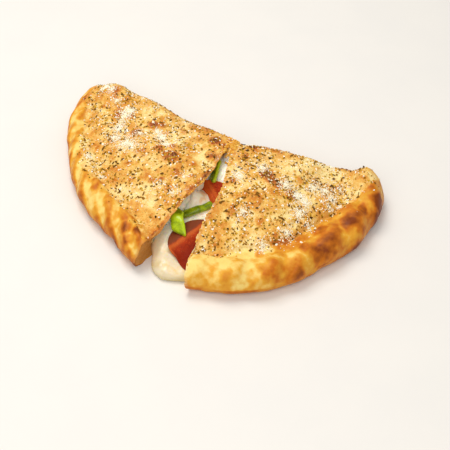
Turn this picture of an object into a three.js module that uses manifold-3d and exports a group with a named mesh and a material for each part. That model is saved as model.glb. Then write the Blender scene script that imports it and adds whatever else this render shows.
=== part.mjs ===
// A baked calzone, cut in two across its fold, its halves swung a little apart at the front.
// Each half is a crust with a pocket that opens at the cut. Melted cheese fills both pockets, bridges the
// gap and has run out in front of it. Two pepperoni slices and three pieces of green pepper lie in the gap.
// Millimetres, +Z up. The origin is the middle of the footprint, on the surface the food lies on.
import * as THREE from "three";
import { mergeVertices } from "three/addons/utils/BufferGeometryUtils.js";
import Module from "manifold-3d";

const wasm = await Module();
wasm.setup();

// ---- driving dimensions, millimetres and degrees ----
const CLEARANCE = 0.35; // between touching pieces
const BRIDGE_CLEARANCE = 0.7; // between the cheese in the gap and the mouth of a pocket
// The back end of the gap, seen from the middle of the footprint. Places in the gap are measured from it.
const HINGE_POINT = [4.56, 61.82];

const RIM_WIDTH = 26; // rolled bread along the curved edge
const CREASE_DEPTH = 4.5; // valley between the rolled rim and the flat top
const CREASE_WIDTH = 7;
const CROWN_RISE = 50; // way in from the crease over which the top climbs to its crown
const EDGE_ROUND = 15; // width over which the top turns down at the curved edge
const FOLD_ROUND = 17; // the same at the straight fold
const UNDER_ROUND = 9; // width of the rounded lower edge
const WAIST_HEIGHT = 10; // height of the outermost line of the edge
const TOP_CRUST = 6.5;
const BOTTOM_CRUST = 6;
const FOLD_WALL = 10;
const POCKET_WAIST = 10.5; // height at which a pocket is widest
const POCKET_ROUND = 8; // width over which its roof and floor meet, half as much again under the rim
const POCKET_REACH = 4; // how far the room in a pocket runs out past the cut
const FILL_RECESS = 2.5; // how far the filling stays back behind the cut
const POLE_ANGLE = -25; // where on the tip's circle the fold side meets the curved side

// Ways along the curved edge, in degrees from the fold.
const FLARE_SPAN = [74, 96]; // where the end at the cut starts to swing out, and is out in full
const RIM_SPAN = [5, 60]; // where the roll starts to change from its width at the tip, and is at its own
const WAVE_SHARE = 0.45; // how much of the pleats' depth shows in the outline
const SAG_LENGTH = 32; // half-length of the dip along the fold
const KNOB_LENGTH = 20; // half-length of the raised corner at the tip
const BULGE_LENGTH = 24; // half-length of the bulge of the cut
const CUT_END = [85, 120]; // ways along the cut between which its end turns
const NIP_SPAN = [118, 154]; // ways along the cut between which its front corner draws back
const LEAN_REACH = 70; // how far into a half the shape of its cut is felt

// Each half: where its cut meets the fold, the way its fold runs, how far its cut leans past square, sizes.
const LEFT = {
  name: "crust_left",
  side: -1,
  pivot: [0.7, 6.2],
  fold: 171,
  lean: 5.1,
  radius: 153.8,
  flat: 10, // how far the middle of the curved edge is pulled in
  flatSpan: [17, 44, 80, 98], // angles at which the pull-in starts, is full, eases and ends
  flare: 3.4, // how far its end at the cut is pushed out
  tip: 20,
  stretch: 0.985, // length along the fold against depth
  crown: 37,
  shoulder: 24.5,
  rimAtTip: 0.62, // the roll's width at the tip against that at the cut
  sag: { middle: 48, depth: 7 }, // dip of the top along the fold
  knob: { middle: 127, rise: 9 }, // raised corner at the tip
  overhang: 0.17, // how far the top of the cut leans out over its foot, for each mm of height
  nip: 5, // how far the front corner of the cut draws back into the half
  sway: { middle: 64, bulge: 4, end: -3.5 }, // how far the top of the cut wanders to the right on its way
  pleats: { length: 26, depth: 1.3, slant: 2.66, start: 0.73 },
  seed: 11,
};
const RIGHT = {
  name: "crust_right",
  side: 1,
  pivot: [7.4, 1.5],
  fold: 14,
  lean: 5.7,
  radius: 159,
  flat: 6,
  flatSpan: [28, 46, 90, 110],
  flare: 0,
  tip: 27,
  stretch: 0.835,
  crown: 37,
  shoulder: 24.5,
  rimAtTip: 1.5,
  sag: { middle: 86, depth: 6 },
  knob: { middle: 134, rise: 8 },
  overhang: 0,
  nip: 0,
  sway: { middle: 70, bulge: 3, end: -5 },
  pleats: { length: 37, depth: 1.4, slant: 0.5, start: 1 },
  seed: 29,
};

const CRUST_STEPS = { along: 50, top: 18, under: 5 };
const POCKET_STEPS = { along: 12, top: 8, under: 3 };
const GAP_STEPS = { along: 22, top: 12, under: 4 };

// Crumbs of grated cheese and flakes of herbs on the top of each half.
const CRUMBS = 40;
const CRUMB_SPACING = 12;
const CRUMB_SIZE = [1.5, 2.6];
const CRUMB_BAND = [0.012, 0.66]; // shares of the half-moon's area between which they lie
const CRUMB_EDGE = 9; // least way to the cut and to the fold
const CRUMB_TRIES = 4000;

// Sides of the cheese in the gap, from the back to the foremost point of the pool, which both end on.
const POOL_FRONT = [8, -148.5];
const CHEESE_LEFT = [[-6, -6], [-9, -60], [-16, -112], [-8.5, -131], [-2.5, -143], POOL_FRONT];
const CHEESE_RIGHT = [[14, -9], [25, -60], [34, -118], [33, -137], [20, -145], POOL_FRONT];
// Its surface: way to the front, height. Behind the slices it rises towards the right half as well, and it
// still hangs up to the roof of the left half in one place.
const CHEESE_LEVELS = [
  [-6, 30],
  [-25, 26.5],
  [-48, 21.5],
  [-62, 19],
  [-80, 16.5],
  [-98, 14.5],
  [-130, 9.5],
  [-150, 8],
];
const CHEESE_TILT = 6;
const TILT_SPAN = [-64, -38];
const HANG = { middle: [0, -73], spread: 8, rise: 11 };
const POOL_ROUND = 11;
const BACK_ROUND = 7;
// The lump of crumb and cheese that holds the halves together at the back of the gap.
const HINGE_LUMP = { middle: [8, -14.5, 21.5], radii: [7, 15.5, 15] };
const POOL_WAIST = 3;

const PEPPERONI_RADIUS = 22.5;
const PEPPERONI_THICKNESS = 2.2;
const PEPPERONI_STEPS = 26;
const RIDGE_ROUND = 3;
// Each slice: its middle, the way its fold runs and how far from the middle the fold's ridge lies. The ridge
// has a height at the middle and a rise along it. The slice falls away on both sides to where it rests.
// Corners stand out of its edge or in: at a turn round it, by a share of its radius, over a spread.
const PEPPERONI = [
  {
    name: "pepperoni_back",
    middle: [14, -72],
    turn: -37,
    ridge: { offset: 4.9, height: 21.7, rise: -0.15 },
    falls: { near: 2.5, far: 0.06 },
    rest: 11,
    corners: [[120, 0.05, 30]],
  },
  {
    name: "pepperoni_front",
    middle: [19.5, -113],
    turn: -115,
    ridge: { offset: -10.5, height: 16.5, rise: -0.15 },
    falls: { near: 0.35, far: 0.4 },
    rest: 8,
    corners: [[2, -0.16, 24], [-45, -0.07, 30], [42, 0.12, 18]],
  },
];

// Each piece of pepper wall: the points along its middle, its width, its thickness, how far it is rolled
// about its length and how far its width is skewed. A piece makes room for those before it.
const PEPPERS = [
  {
    name: "pepper_piece_front",
    path: [[-5.9, -90.3, 21.5], [-1.9, -100.1, 23], [2.3, -106.6, 20.5], [5.6, -111.4, 17.2]],
    width: 14,
    flesh: 5,
    roll: 0,
    skew: -40,
  },
  {
    name: "pepper_strip_middle",
    path: [[-2.5, -91, 16], [2.5, -86.5, 17.5], [8.5, -80, 18.5], [16, -69.5, 18.5]],
    width: 7,
    flesh: 4.2,
    roll: 0,
    skew: 0,
  },
  {
    name: "pepper_strip_back",
    path: [[1.9, -30.5, 28.5], [3.1, -36, 28], [5.1, -44, 26.5], [6.9, -53, 24.5]],
    width: 7,
    flesh: 3.6,
    roll: 40,
    skew: 0,
  },
];
const PEPPER_STEPS = { round: 10, along: 12 };

const radians = (degrees) => (degrees * Math.PI) / 180;
const clamp01 = (x) => Math.min(1, Math.max(0, x));
const mix = (a, b, t) => a + (b - a) * t;

function smooth(low, high, x) {
  const t = clamp01((x - low) / (high - low));
  return t * t * (3 - 2 * t);
}

// 1 at the middle, falling away as a bell on both sides.
const bell = (x, middle, length) => Math.exp(-(((x - middle) / length) ** 2));

// 0 at the very edge, rising as a quarter circle to 1 at the given width.
function quarterRound(distance, width) {
  const t = 1 - clamp01(distance / width);
  return Math.sqrt(1 - t * t);
}

// A repeatable random draw.
function randomDraw(seed) {
  let state = seed;
  return () => {
    state = (state + 0x6d2b79f5) | 0;
    let t = Math.imul(state ^ (state >>> 15), 1 | state);
    t = (t + Math.imul(t ^ (t >>> 7), 61 | t)) ^ t;
    return ((t ^ (t >>> 14)) >>> 0) / 4294967296;
  };
}

// ---- solids ----

// A closed solid from a three.js geometry, turned to face out.
function solidOf(geometry) {
  const bare = geometry.clone();
  bare.deleteAttribute("normal");
  bare.deleteAttribute("uv");
  const merged = mergeVertices(bare, 1e-3);
  const index = Array.from(merged.index.array);
  const triangles = [];
  for (let i = 0; i < index.length; i += 3) {
    const [a, b, c] = index.slice(i, i + 3);
    if (a !== b && b !== c && c !== a) triangles.push([a, b, c]);
  }
  const build = (list) =>
    new wasm.Manifold(
      new wasm.Mesh({
        numProp: 3,
        vertProperties: merged.attributes.position.array,
        triVerts: new Uint32Array(list.flat()),
      }),
    );
  const solid = build(triangles);
  return solid.volume() > 0 ? solid : build(triangles.map(([a, b, c]) => [a, c, b]));
}

// Moves every point of a geometry by a rule.
function reshape(geometry, rule) {
  const places = geometry.attributes.position;
  for (let i = 0; i < places.count; i++) {
    places.setXYZ(i, ...rule(places.getX(i), places.getY(i), places.getZ(i)));
  }
  return geometry;
}

// Drops scraps that a cut leaves beside the main body.
function largest(solid) {
  return solid.decompose().reduce((best, body) => (body.volume() > best.volume() ? body : best));
}

// Joins two rows of points with triangles, stepping along whichever row lags.
function stitch(rowA, rowB, corners) {
  const origin = rowA[0];
  const measure = (p) => Math.hypot(p[0] - origin[0], p[1] - origin[1]);
  let a = 0;
  let b = 0;
  while (a < rowA.length - 1 || b < rowB.length - 1) {
    const moreA = a < rowA.length - 1;
    if (b === rowB.length - 1 || (moreA && measure(rowA[a + 1]) <= measure(rowB[b + 1]))) {
      corners.push(rowA[a], rowA[a + 1], rowB[b]);
      a += 1;
    } else {
      corners.push(rowA[a], rowB[b + 1], rowB[b]);
      b += 1;
    }
  }
}

// A solid between an upper and a lower sheet over one plan. point(s, w) gives the plan, s from the open end
// to the pole and w across. The sheets meet at the waist height where w is 0 or 1, and at the pole.
function sheetSolid(sheet, steps) {
  const rows = (height, count) =>
    Array.from({ length: steps.along + 1 }, (_, i) =>
      Array.from({ length: count + 1 }, (__, j) => {
        const s = i / steps.along;
        const w = 0.5 - 0.5 * Math.cos((Math.PI * j) / count);
        const [x, y] = sheet.point(s, w);
        const outline = j === 0 || j === count || i === steps.along;
        return sheet.place(x, y, outline ? sheet.waist : height(x, y, s, w));
      }),
    );
  const top = rows(sheet.upper, steps.top);
  const under = rows(sheet.lower, steps.under);
  const corners = [];
  for (const [face, flip] of [[top, false], [under, true]]) {
    for (let i = 0; i < steps.along; i++) {
      for (let j = 0; j + 1 < face[i].length; j++) {
        const [a, b, c, d] = [face[i][j], face[i][j + 1], face[i + 1][j + 1], face[i + 1][j]];
        corners.push(...(flip ? [a, b, c, a, c, d] : [a, c, b, a, d, c]));
      }
    }
  }
  stitch(top[0], under[0], corners);
  stitch(under[steps.along], top[steps.along], corners);
  const geometry = new THREE.BufferGeometry();
  geometry.setAttribute("position", new THREE.Float32BufferAttribute(corners.flat(), 3));
  return solidOf(geometry);
}

// ---- plan of a half: x runs along the fold from the cut, y from the fold to the curved edge ----

// The half-moon with its rounded tip, pulled in at the curve and at the fold. Only the outer edge has waves.
function planOf(half, rimInset, foldInset) {
  const radius = half.radius - rimInset;
  const tip = Math.max(half.tip - 0.5 * (rimInset + foldInset), 9);
  const tipY = tip + foldInset;
  const tipX = Math.sqrt((radius - tip) ** 2 - tipY ** 2);
  const curveEnd = Math.atan2(tipY, tipX);
  const cut = Math.PI / 2 + radians(half.lean);
  const waves = rimInset < RIM_WIDTH ? 1 : 0;
  return { half, radius, tip, tipX, tipY, curveEnd, cut, foldInset, waves };
}

// The curved edge at an angle: flatter in its middle, with gentle waves that fade out before the tip.
function edgeRadius(plan, angle) {
  const { length, depth, start } = plan.half.pleats;
  const [flatFrom, flatFull, flatEase, flatEnd] = plan.half.flatSpan.map(radians);
  const [flareFrom, flareFull] = FLARE_SPAN.map(radians);
  const flat = plan.half.flat * smooth(flatFrom, flatFull, angle) * smooth(flatEnd, flatEase, angle);
  const flare = plan.half.flare * smooth(flareFrom, flareFull, angle);
  const wave = Math.sin((2 * Math.PI * plan.half.radius * angle) / length + start) * depth * WAVE_SHARE;
  const sway = Math.sin(3.1 * angle + plan.half.seed) * 1.3;
  const fade = plan.waves * smooth(plan.curveEnd, plan.curveEnd + 0.3, angle);
  return plan.radius - flat + flare + (wave + sway) * fade;
}

// A point of the curved side, s from 0 at the cut to 1 at the tip's pole.
function curvePoint(plan, s, reach) {
  const pole = radians(POLE_ANGLE);
  const arc = plan.radius * (plan.cut - plan.curveEnd) + reach;
  const round = plan.tip * (plan.curveEnd - pole);
  const run = s * (arc + round);
  if (run < arc) {
    const angle = plan.cut + (reach - run) / plan.radius;
    const radius = edgeRadius(plan, angle);
    return [radius * Math.cos(angle), radius * Math.sin(angle)];
  }
  const angle = plan.curveEnd - (run - arc) / plan.tip;
  return [plan.tipX + plan.tip * Math.cos(angle), plan.tipY + plan.tip * Math.sin(angle)];
}

// A point of the fold side, s from 0 at the cut to 1 at the tip's pole.
function foldPoint(plan, s, reach) {
  const start = plan.foldInset / Math.tan(plan.cut) - reach;
  const line = plan.tipX - start;
  const round = plan.tip * (Math.PI / 2 + radians(POLE_ANGLE));
  const run = s * (line + round);
  if (run < line) return [start + run, plan.foldInset];
  const angle = -Math.PI / 2 + (run - line) / plan.tip;
  return [plan.tipX + plan.tip * Math.cos(angle), plan.tipY + plan.tip * Math.sin(angle)];
}

// 0 on the outline, 1 further in than the widths given for the curved edge and the fold.
function edgeFactor(plan, x, y, rimWidth, foldWidth) {
  const dx = x - plan.tipX;
  const dy = y - plan.tipY;
  const angle = Math.atan2(dy, dx);
  if (dx > 0 && angle < plan.curveEnd) {
    const towardsFold = clamp01((plan.curveEnd - angle) / (plan.curveEnd + Math.PI / 2));
    return quarterRound(plan.tip - Math.hypot(dx, dy), mix(rimWidth, foldWidth, towardsFold));
  }
  const rim = edgeRadius(plan, Math.atan2(y, x)) - Math.hypot(x, y);
  return quarterRound(rim, rimWidth) * quarterRound(y - plan.foldInset, foldWidth);
}

// ---- the crust's heights ----

// The top before its edges turn down: a rolled rim, a crease behind it and a crowned top.
function topSheet(half, x, y) {
  const angle = Math.atan2(y, x);
  const inward = edgeRadius(planOf(half, 0, 0), angle) - Math.hypot(x, y);
  const rim = RIM_WIDTH * mix(half.rimAtTip, 1, smooth(...RIM_SPAN.map(radians), angle));
  const bowl = smooth(rim, rim + CROWN_RISE, inward);
  const sag = half.sag.depth * bell(x, half.sag.middle, SAG_LENGTH) * smooth(75, 10, y);
  const knob = half.knob.rise * bell(x, half.knob.middle, KNOB_LENGTH) * smooth(55, 15, y);
  const crease = CREASE_DEPTH * bell(inward, rim, CREASE_WIDTH);
  const { length, depth, slant, start } = half.pleats;
  const phase = (2 * Math.PI * half.radius * angle) / length + start + slant * (inward / rim) * Math.PI;
  const ridges = 0.7 * Math.sin(phase) + 0.3 * Math.sin(2 * phase + 1);
  const pleat = ridges * depth * smooth(rim + 4, 12, inward);
  const swell = 1.1 * Math.sin(x / 17 + half.seed) * Math.sin(y / 14 + 1);
  const lumps = swell + 0.7 * Math.sin((x + y) / 9 + half.seed);
  return mix(half.shoulder, half.crown, bowl) - sag + knob - crease + pleat + lumps * bowl;
}

function topHeight(plan, x, y) {
  const edge = edgeFactor(plan, x, y, EDGE_ROUND, FOLD_ROUND);
  return mix(WAIST_HEIGHT, topSheet(plan.half, x, y), edge);
}

function underHeight(plan, x, y) {
  return WAIST_HEIGHT * (1 - edgeFactor(plan, x, y, UNDER_ROUND, UNDER_ROUND));
}

// ---- the halves ----

// How far the top of the cut wanders to the right at a way y along it.
function cutSway(half, y) {
  const { middle, bulge, end } = half.sway;
  return bulge * bell(y, middle, BULGE_LENGTH) + end * smooth(...CUT_END, y);
}

// Carries a point of a half's plan, with its height, to its place.
function placeHalf(half) {
  const fold = radians(half.fold);
  const across = fold - (half.side * Math.PI) / 2;
  return (x, y, z) => {
    const lean = half.side * cutSway(half, y) * (z / half.crown) - half.overhang * z;
    const nip = half.nip * smooth(...NIP_SPAN, y);
    const along = x * half.stretch + (lean + nip) * smooth(LEAN_REACH, 0, x);
    return [
      half.pivot[0] + along * Math.cos(fold) + y * Math.cos(across),
      half.pivot[1] + along * Math.sin(fold) + y * Math.sin(across),
      z,
    ];
  };
}

// A point between the fold side and the curved side of a plan.
function acrossPlan(plan, reach) {
  return (s, w) => {
    const [fx, fy] = foldPoint(plan, s, reach);
    const [cx, cy] = curvePoint(plan, s, reach);
    return [mix(fx, cx, w), mix(fy, cy, w)];
  };
}

// The whole half without its pocket. grow swells it all round, for cutting what touches it.
function halfSolid(half, grow) {
  const plan = planOf(half, -grow, -grow);
  const sheet = {
    point: acrossPlan(plan, grow),
    place: placeHalf(half),
    waist: WAIST_HEIGHT,
    upper: (x, y) => topHeight(plan, x, y) + grow,
    lower: (x, y) => underHeight(plan, x, y) - grow,
  };
  return sheetSolid(sheet, CRUST_STEPS);
}

// The room inside a half, running out past the cut. shrink pulls it in all round.
function pocketSolid(half, shrink) {
  const plan = planOf(half, RIM_WIDTH + shrink, FOLD_WALL + shrink);
  const whole = planOf(half, 0, 0);
  const roof = (x, y) => topHeight(whole, x, y) - TOP_CRUST - shrink;
  const edge = (x, y, rimWidth) => edgeFactor(plan, x, y, rimWidth, POCKET_ROUND);
  const sheet = {
    point: acrossPlan(plan, POCKET_REACH),
    place: placeHalf(half),
    waist: POCKET_WAIST,
    upper: (x, y) => mix(POCKET_WAIST, roof(x, y), edge(x, y, POCKET_ROUND * 1.5)),
    lower: (x, y) => mix(POCKET_WAIST, BOTTOM_CRUST + shrink, edge(x, y, POCKET_ROUND)),
  };
  return sheetSolid(sheet, POCKET_STEPS);
}

// Crumbs and flakes scattered over the top of a half, half sunk in it, clear of the cut and the rim.
function crumbsOn(half) {
  const plan = planOf(half, 0, 0);
  const place = placeHalf(half);
  const draw = randomDraw(half.seed);
  const taken = [];
  const solids = [];
  for (let tries = 0; solids.length < CRUMBS && tries < CRUMB_TRIES; tries++) {
    const angle = mix(0, plan.cut, draw());
    const way = half.radius * Math.sqrt(mix(...CRUMB_BAND, draw()));
    const [x, y] = [way * Math.cos(angle), way * Math.sin(angle)];
    const clear = taken.every(([a, b]) => Math.hypot(x - a, y - b) > CRUMB_SPACING);
    if (!clear || x < CRUMB_EDGE || y < CRUMB_EDGE) continue;
    taken.push([x, y]);
    const size = mix(...CRUMB_SIZE, draw());
    const crumb = new THREE.IcosahedronGeometry(size, 0);
    crumb.scale(mix(0.8, 1.3, draw()), 1, mix(0.6, 0.8, draw()));
    crumb.rotateZ(draw() * Math.PI);
    crumb.translate(...place(x, y, topHeight(plan, x, y) + size * 0.15));
    solids.push(solidOf(crumb));
  }
  return solids;
}

const crustBody = (half, grow) => halfSolid(half, grow).subtract(pocketSolid(half, grow));

// ---- the cheese between the halves ----

function cheeseLevel(y) {
  const last = CHEESE_LEVELS.length - 2;
  let i = 0;
  while (i < last && y < CHEESE_LEVELS[i + 1][0]) i++;
  const [[nearY, nearZ], [farY, farZ]] = [CHEESE_LEVELS[i], CHEESE_LEVELS[i + 1]];
  return mix(nearZ, farZ, clamp01((y - nearY) / (farY - nearY)));
}

function lumpSolid() {
  const lump = new THREE.IcosahedronGeometry(1, 1);
  lump.scale(...HINGE_LUMP.radii);
  lump.translate(...HINGE_LUMP.middle);
  return solidOf(lump);
}

function gapSolid() {
  const side = (points) => new THREE.SplineCurve(points.map(([x, y]) => new THREE.Vector2(x, y)));
  const [left, right] = [side(CHEESE_LEFT), side(CHEESE_RIGHT)];
  const run = left.getLength();
  const ends = (s) => [left.getPointAt(s), right.getPointAt(s)];
  const edge = (s, w, round) => {
    const [a, b] = ends(s);
    const sides = quarterRound(Math.min(w, 1 - w) * a.distanceTo(b), round);
    return sides * quarterRound((1 - s) * run, round) * quarterRound(s * run, Math.min(round, BACK_ROUND));
  };
  const hang = (x, y) => HANG.rise * bell(Math.hypot(x - HANG.middle[0], y - HANG.middle[1]), 0, HANG.spread);
  const level = (x, y, w) => cheeseLevel(y) + CHEESE_TILT * w * smooth(...TILT_SPAN, y) + hang(x, y);
  const ripple = (x, y) => 0.8 * Math.sin(x / 5 + y / 11) + 0.6 * Math.sin(y / 6);
  const sheet = {
    point: (s, w) => {
      const [a, b] = ends(s);
      return [mix(a.x, b.x, w), mix(a.y, b.y, w)];
    },
    place: (x, y, z) => [x, y, z],
    waist: POOL_WAIST,
    upper: (x, y, s, w) => mix(POOL_WAIST, level(x, y, w) + ripple(x, y), edge(s, w, POOL_ROUND)),
    lower: (x, y, s, w) => POOL_WAIST * (1 - edge(s, w, POOL_WAIST * 1.5)),
  };
  return sheetSolid(sheet, GAP_STEPS);
}

// ---- slices and pieces in the gap ----

// How far a slice's edge stands out or in at a turn round it, 1 for a plain circle.
function sliceOutline(slice, turn) {
  return slice.corners.reduce((outline, [at, share, spread]) => {
    const off = turn - radians(at);
    return outline + share * bell(Math.atan2(Math.sin(off), Math.cos(off)), 0, radians(spread));
  }, 1);
}

// A slice bent over a straight ridge. grow swells it all round.
function pepperoniSolid(slice, grow) {
  const radius = PEPPERONI_RADIUS + grow;
  const half = PEPPERONI_THICKNESS / 2 + grow;
  const bevel = radius - 0.5;
  const inner = radius * 0.6;
  const below = [[0, -half], [inner, -half], [bevel, -half]];
  const above = [[bevel, half], [inner, half], [0, half]];
  const profile = [...below, [radius, 0], ...above].map(([r, z]) => new THREE.Vector2(r, z));
  const disc = new THREE.LatheGeometry(profile, PEPPERONI_STEPS);
  const [c, s] = [Math.cos(radians(slice.turn)), Math.sin(radians(slice.turn))];
  const { ridge, falls } = slice;
  reshape(disc, (x, up, z) => {
    const out = sliceOutline(slice, Math.atan2(z, x));
    const [along, across] = [x * out, z * out];
    const past = across - ridge.offset;
    const fall = (past > 0 ? falls.far : falls.near) * (Math.hypot(past, RIDGE_ROUND) - RIDGE_ROUND);
    const height = Math.max(ridge.height + ridge.rise * along - fall, slice.rest);
    return [slice.middle[0] + along * c - across * s, slice.middle[1] + along * s + across * c, height + up];
  });
  return solidOf(disc);
}

// A strip of pepper wall along its path, with rounded edges. roll turns it about the path.
function pepperSolid(piece, grow) {
  const path = new THREE.CatmullRomCurve3(piece.path.map((p) => new THREE.Vector3(...p)));
  const wide = piece.width / 2 + grow;
  const thick = piece.flesh / 2 + grow;
  const strip = new THREE.CylinderGeometry(1, 1, 1, PEPPER_STEPS.round, PEPPER_STEPS.along);
  const up = new THREE.Vector3(0, 0, 1);
  reshape(strip, (u, t, v) => {
    const at = path.getPointAt(t + 0.5);
    const ahead = path.getTangentAt(t + 0.5);
    const sideways = new THREE.Vector3().crossVectors(up, ahead).normalize();
    const outward = new THREE.Vector3().crossVectors(ahead, sideways);
    sideways.applyAxisAngle(up, radians(piece.skew));
    const square = (q) => Math.sign(q) * Math.abs(q) ** 0.6;
    const [a, b] = [square(u) * wide, square(v) * thick];
    const [c, s] = [Math.cos(radians(piece.roll)), Math.sin(radians(piece.roll))];
    at.addScaledVector(sideways, a * c - b * s).addScaledVector(outward, a * s + b * c);
    at.addScaledVector(ahead, Math.sign(t) * (Math.abs(t) > 0.49 ? grow : 0));
    return [at.x, at.y, at.z];
  });
  return solidOf(strip);
}

// ---- the calzone ----

const group = new THREE.Group();

function addNode(name, solid, colour, roughness) {
  const mesh = solid.getMesh();
  const geometry = new THREE.BufferGeometry();
  geometry.setAttribute("position", new THREE.BufferAttribute(mesh.vertProperties, 3));
  geometry.setIndex(new THREE.BufferAttribute(mesh.triVerts, 1));
  geometry.computeVertexNormals();
  const material = new THREE.MeshStandardMaterial({ color: colour, roughness, metalness: 0 });
  const node = new THREE.Mesh(geometry, material);
  node.name = name;
  node.position.set(HINGE_POINT[0], HINGE_POINT[1], 0);
  group.add(node);
}

const minus = (solid, cutters) => cutters.reduce((left, cutter) => left.subtract(cutter), solid);

const halves = [LEFT, RIGHT];
for (const half of halves) {
  const crust = crumbsOn(half).reduce((whole, crumb) => whole.add(crumb), crustBody(half, 0));
  addNode(half.name, largest(crust), 0xdfae68, 0.75);
}

const crustRoom = halves.map((half) => crustBody(half, CLEARANCE));
const pieces = [];
for (const slice of PEPPERONI) {
  const cut = minus(pepperoniSolid(slice, 0), [...crustRoom, ...pieces]);
  addNode(slice.name, largest(cut), 0xa84020, 0.4);
  pieces.push(pepperoniSolid(slice, CLEARANCE));
}
for (const piece of PEPPERS) {
  const cut = minus(pepperSolid(piece, 0), [...crustRoom, ...pieces]);
  addNode(piece.name, largest(cut), 0x7f9a1c, 0.3);
  pieces.push(pepperSolid(piece, CLEARANCE));
}

const bridge = minus(
  gapSolid().add(lumpSolid()),
  halves.map((half) => crustBody(half, BRIDGE_CLEARANCE)),
);
const fillings = halves.map((half) => pocketSolid(half, CLEARANCE).intersect(halfSolid(half, -FILL_RECESS)));
const cheese = fillings.reduce((whole, filling) => whole.add(filling), largest(bridge));
addNode("melted_cheese", largest(minus(cheese, pieces)), 0xf0e0b4, 0.35);

export default group;
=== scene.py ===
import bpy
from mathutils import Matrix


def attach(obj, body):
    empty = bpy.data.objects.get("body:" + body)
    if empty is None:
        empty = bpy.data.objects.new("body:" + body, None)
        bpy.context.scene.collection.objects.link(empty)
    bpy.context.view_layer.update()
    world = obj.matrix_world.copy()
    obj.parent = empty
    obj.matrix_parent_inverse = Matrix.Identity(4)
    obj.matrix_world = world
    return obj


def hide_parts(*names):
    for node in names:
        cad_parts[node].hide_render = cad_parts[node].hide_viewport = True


bl_info = {
    "name": "Cut calzone",
    "version": (1, 0, 0),
    "blender": (4, 5, 0),
    "location": "3D View > Sidebar > Calzone",
    "description": "Dresses a baked calzone that was cut in two, and makes its stage",
    "category": "Add Mesh",
}

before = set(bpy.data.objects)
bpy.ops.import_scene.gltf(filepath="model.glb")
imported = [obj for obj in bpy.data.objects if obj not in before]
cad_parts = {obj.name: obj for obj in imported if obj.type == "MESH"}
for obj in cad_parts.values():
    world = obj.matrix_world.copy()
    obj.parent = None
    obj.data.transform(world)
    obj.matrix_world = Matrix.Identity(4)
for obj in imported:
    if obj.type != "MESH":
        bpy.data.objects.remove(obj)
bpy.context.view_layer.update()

import math
from functools import partial
from itertools import combinations
from types import SimpleNamespace

import bpy
import numpy as np
from bpy.props import FloatProperty, FloatVectorProperty, IntProperty, PointerProperty
from mathutils import Matrix, Vector
from mathutils.bvhtree import BVHTree

BODY = "root"
MM = 0.001  # the shapes below are worked out in millimetres

# ---- places of the pieces, in millimetres from the back end of the gap, and angles in degrees ----

HINGE_POINT = np.array([4.56, 61.82, 0.0])  # the back end of the gap, in the frame
CLEARANCE = 0.35  # between the filling and the wall of its pocket
WAIST_HEIGHT = 10.0  # of the outermost line of the bread's edge
POLE_ANGLE = -25  # where on the tip's circle the fold side meets the curved side
SMALLEST_TIP = 9
MEAN_RUN = 1.1  # way from the cut to the tip, on average, in radii of a half
FLARE_SPAN = (74, 96)  # angles over which the left half's edge flares out to the cut
RIM_SPAN = (5, 60)  # angles over which the roll reaches its full width
WAVE_SHARE = 0.45  # how much of the pleats' depth shows in the outline
SWAY = SimpleNamespace(pace=3.1, depth=1.3)  # slow waves of the outline: pace in radians for each radian
WAVE_FADE = 0.3  # radians before the tip over which all waves of the outline fade out
SAG_LENGTH = 32  # of the low place along the fold
SAG_FADE = (75, 10)  # ways from the fold over which it deepens
KNOB_LENGTH = 20  # of the raised corner along the fold
KNOB_FADE = (55, 15)
BULGE_LENGTH = 24  # of the place where the cut swings out
CUT_END = (85, 120)  # ways along the cut between which its end swings aside
NIP_SPAN = (118, 154)  # ways along the cut between which the rim is pinched
LEAN_REACH = 70  # how far from the cut its lean is felt
POCKET_WAIST = 10.5
POCKET_ROUND = 8
ROOF_ROUND = 12
POCKET_ROWS = 40
CUT_RINGS = 10  # rings of faces across the thickness of the cut bread
FOLD_DRAG = 6.7  # how fast the folds of the rim run on along it as they come down its side

# Of a half: fold is the way its fold runs and lean how far its cut leans from a right angle to it. flat
# flattens the curve between the angles of flat_span. overhang is how far the top stands over the cut for each
# millimetre of height, and nip how far the rim is pinched at the cut. The pocket begins mouth, and the
# filling fill_recess, inside the cut. sear is how brown the cut's edge is, caramel how soaked with fat, and
# rim_tone the browning of the bare rim, as TOP_TONE is that of the top. cut_crumbs lie along the cut's upper
# edge as far as crumbs_end.
LEFT = SimpleNamespace(
    name="bread_left",
    node="crust_left",
    side=-1,
    pivot=(0.7, 6.2),
    fold=171,
    lean=5.1,
    radius=153.8,
    flat=10,
    flat_span=(17, 44, 80, 98),
    flare=3.4,
    tip=20,
    stretch=0.985,
    crown=37,
    shoulder=24.5,
    rim_at_tip=0.62,
    sag=SimpleNamespace(middle=48, depth=7),
    knob=SimpleNamespace(middle=127, rise=9),
    overhang=0.17,
    nip=5,
    mouth=4.5,
    sear=0.75,
    caramel=0.9,
    rim_tone=(0.17, 0.12, 0.13, 0.15, 0.05),
    crumbs_end=112,
    cut_crumbs=45,
    low_browning_and_bounce=0.3,
    fill_recess=5.5,
    sway=SimpleNamespace(middle=64, bulge=4, end=-3.5),
    pleats=SimpleNamespace(length=26, depth=1.3, slant=2.66, start=0.73),
    seed=11,
)
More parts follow.
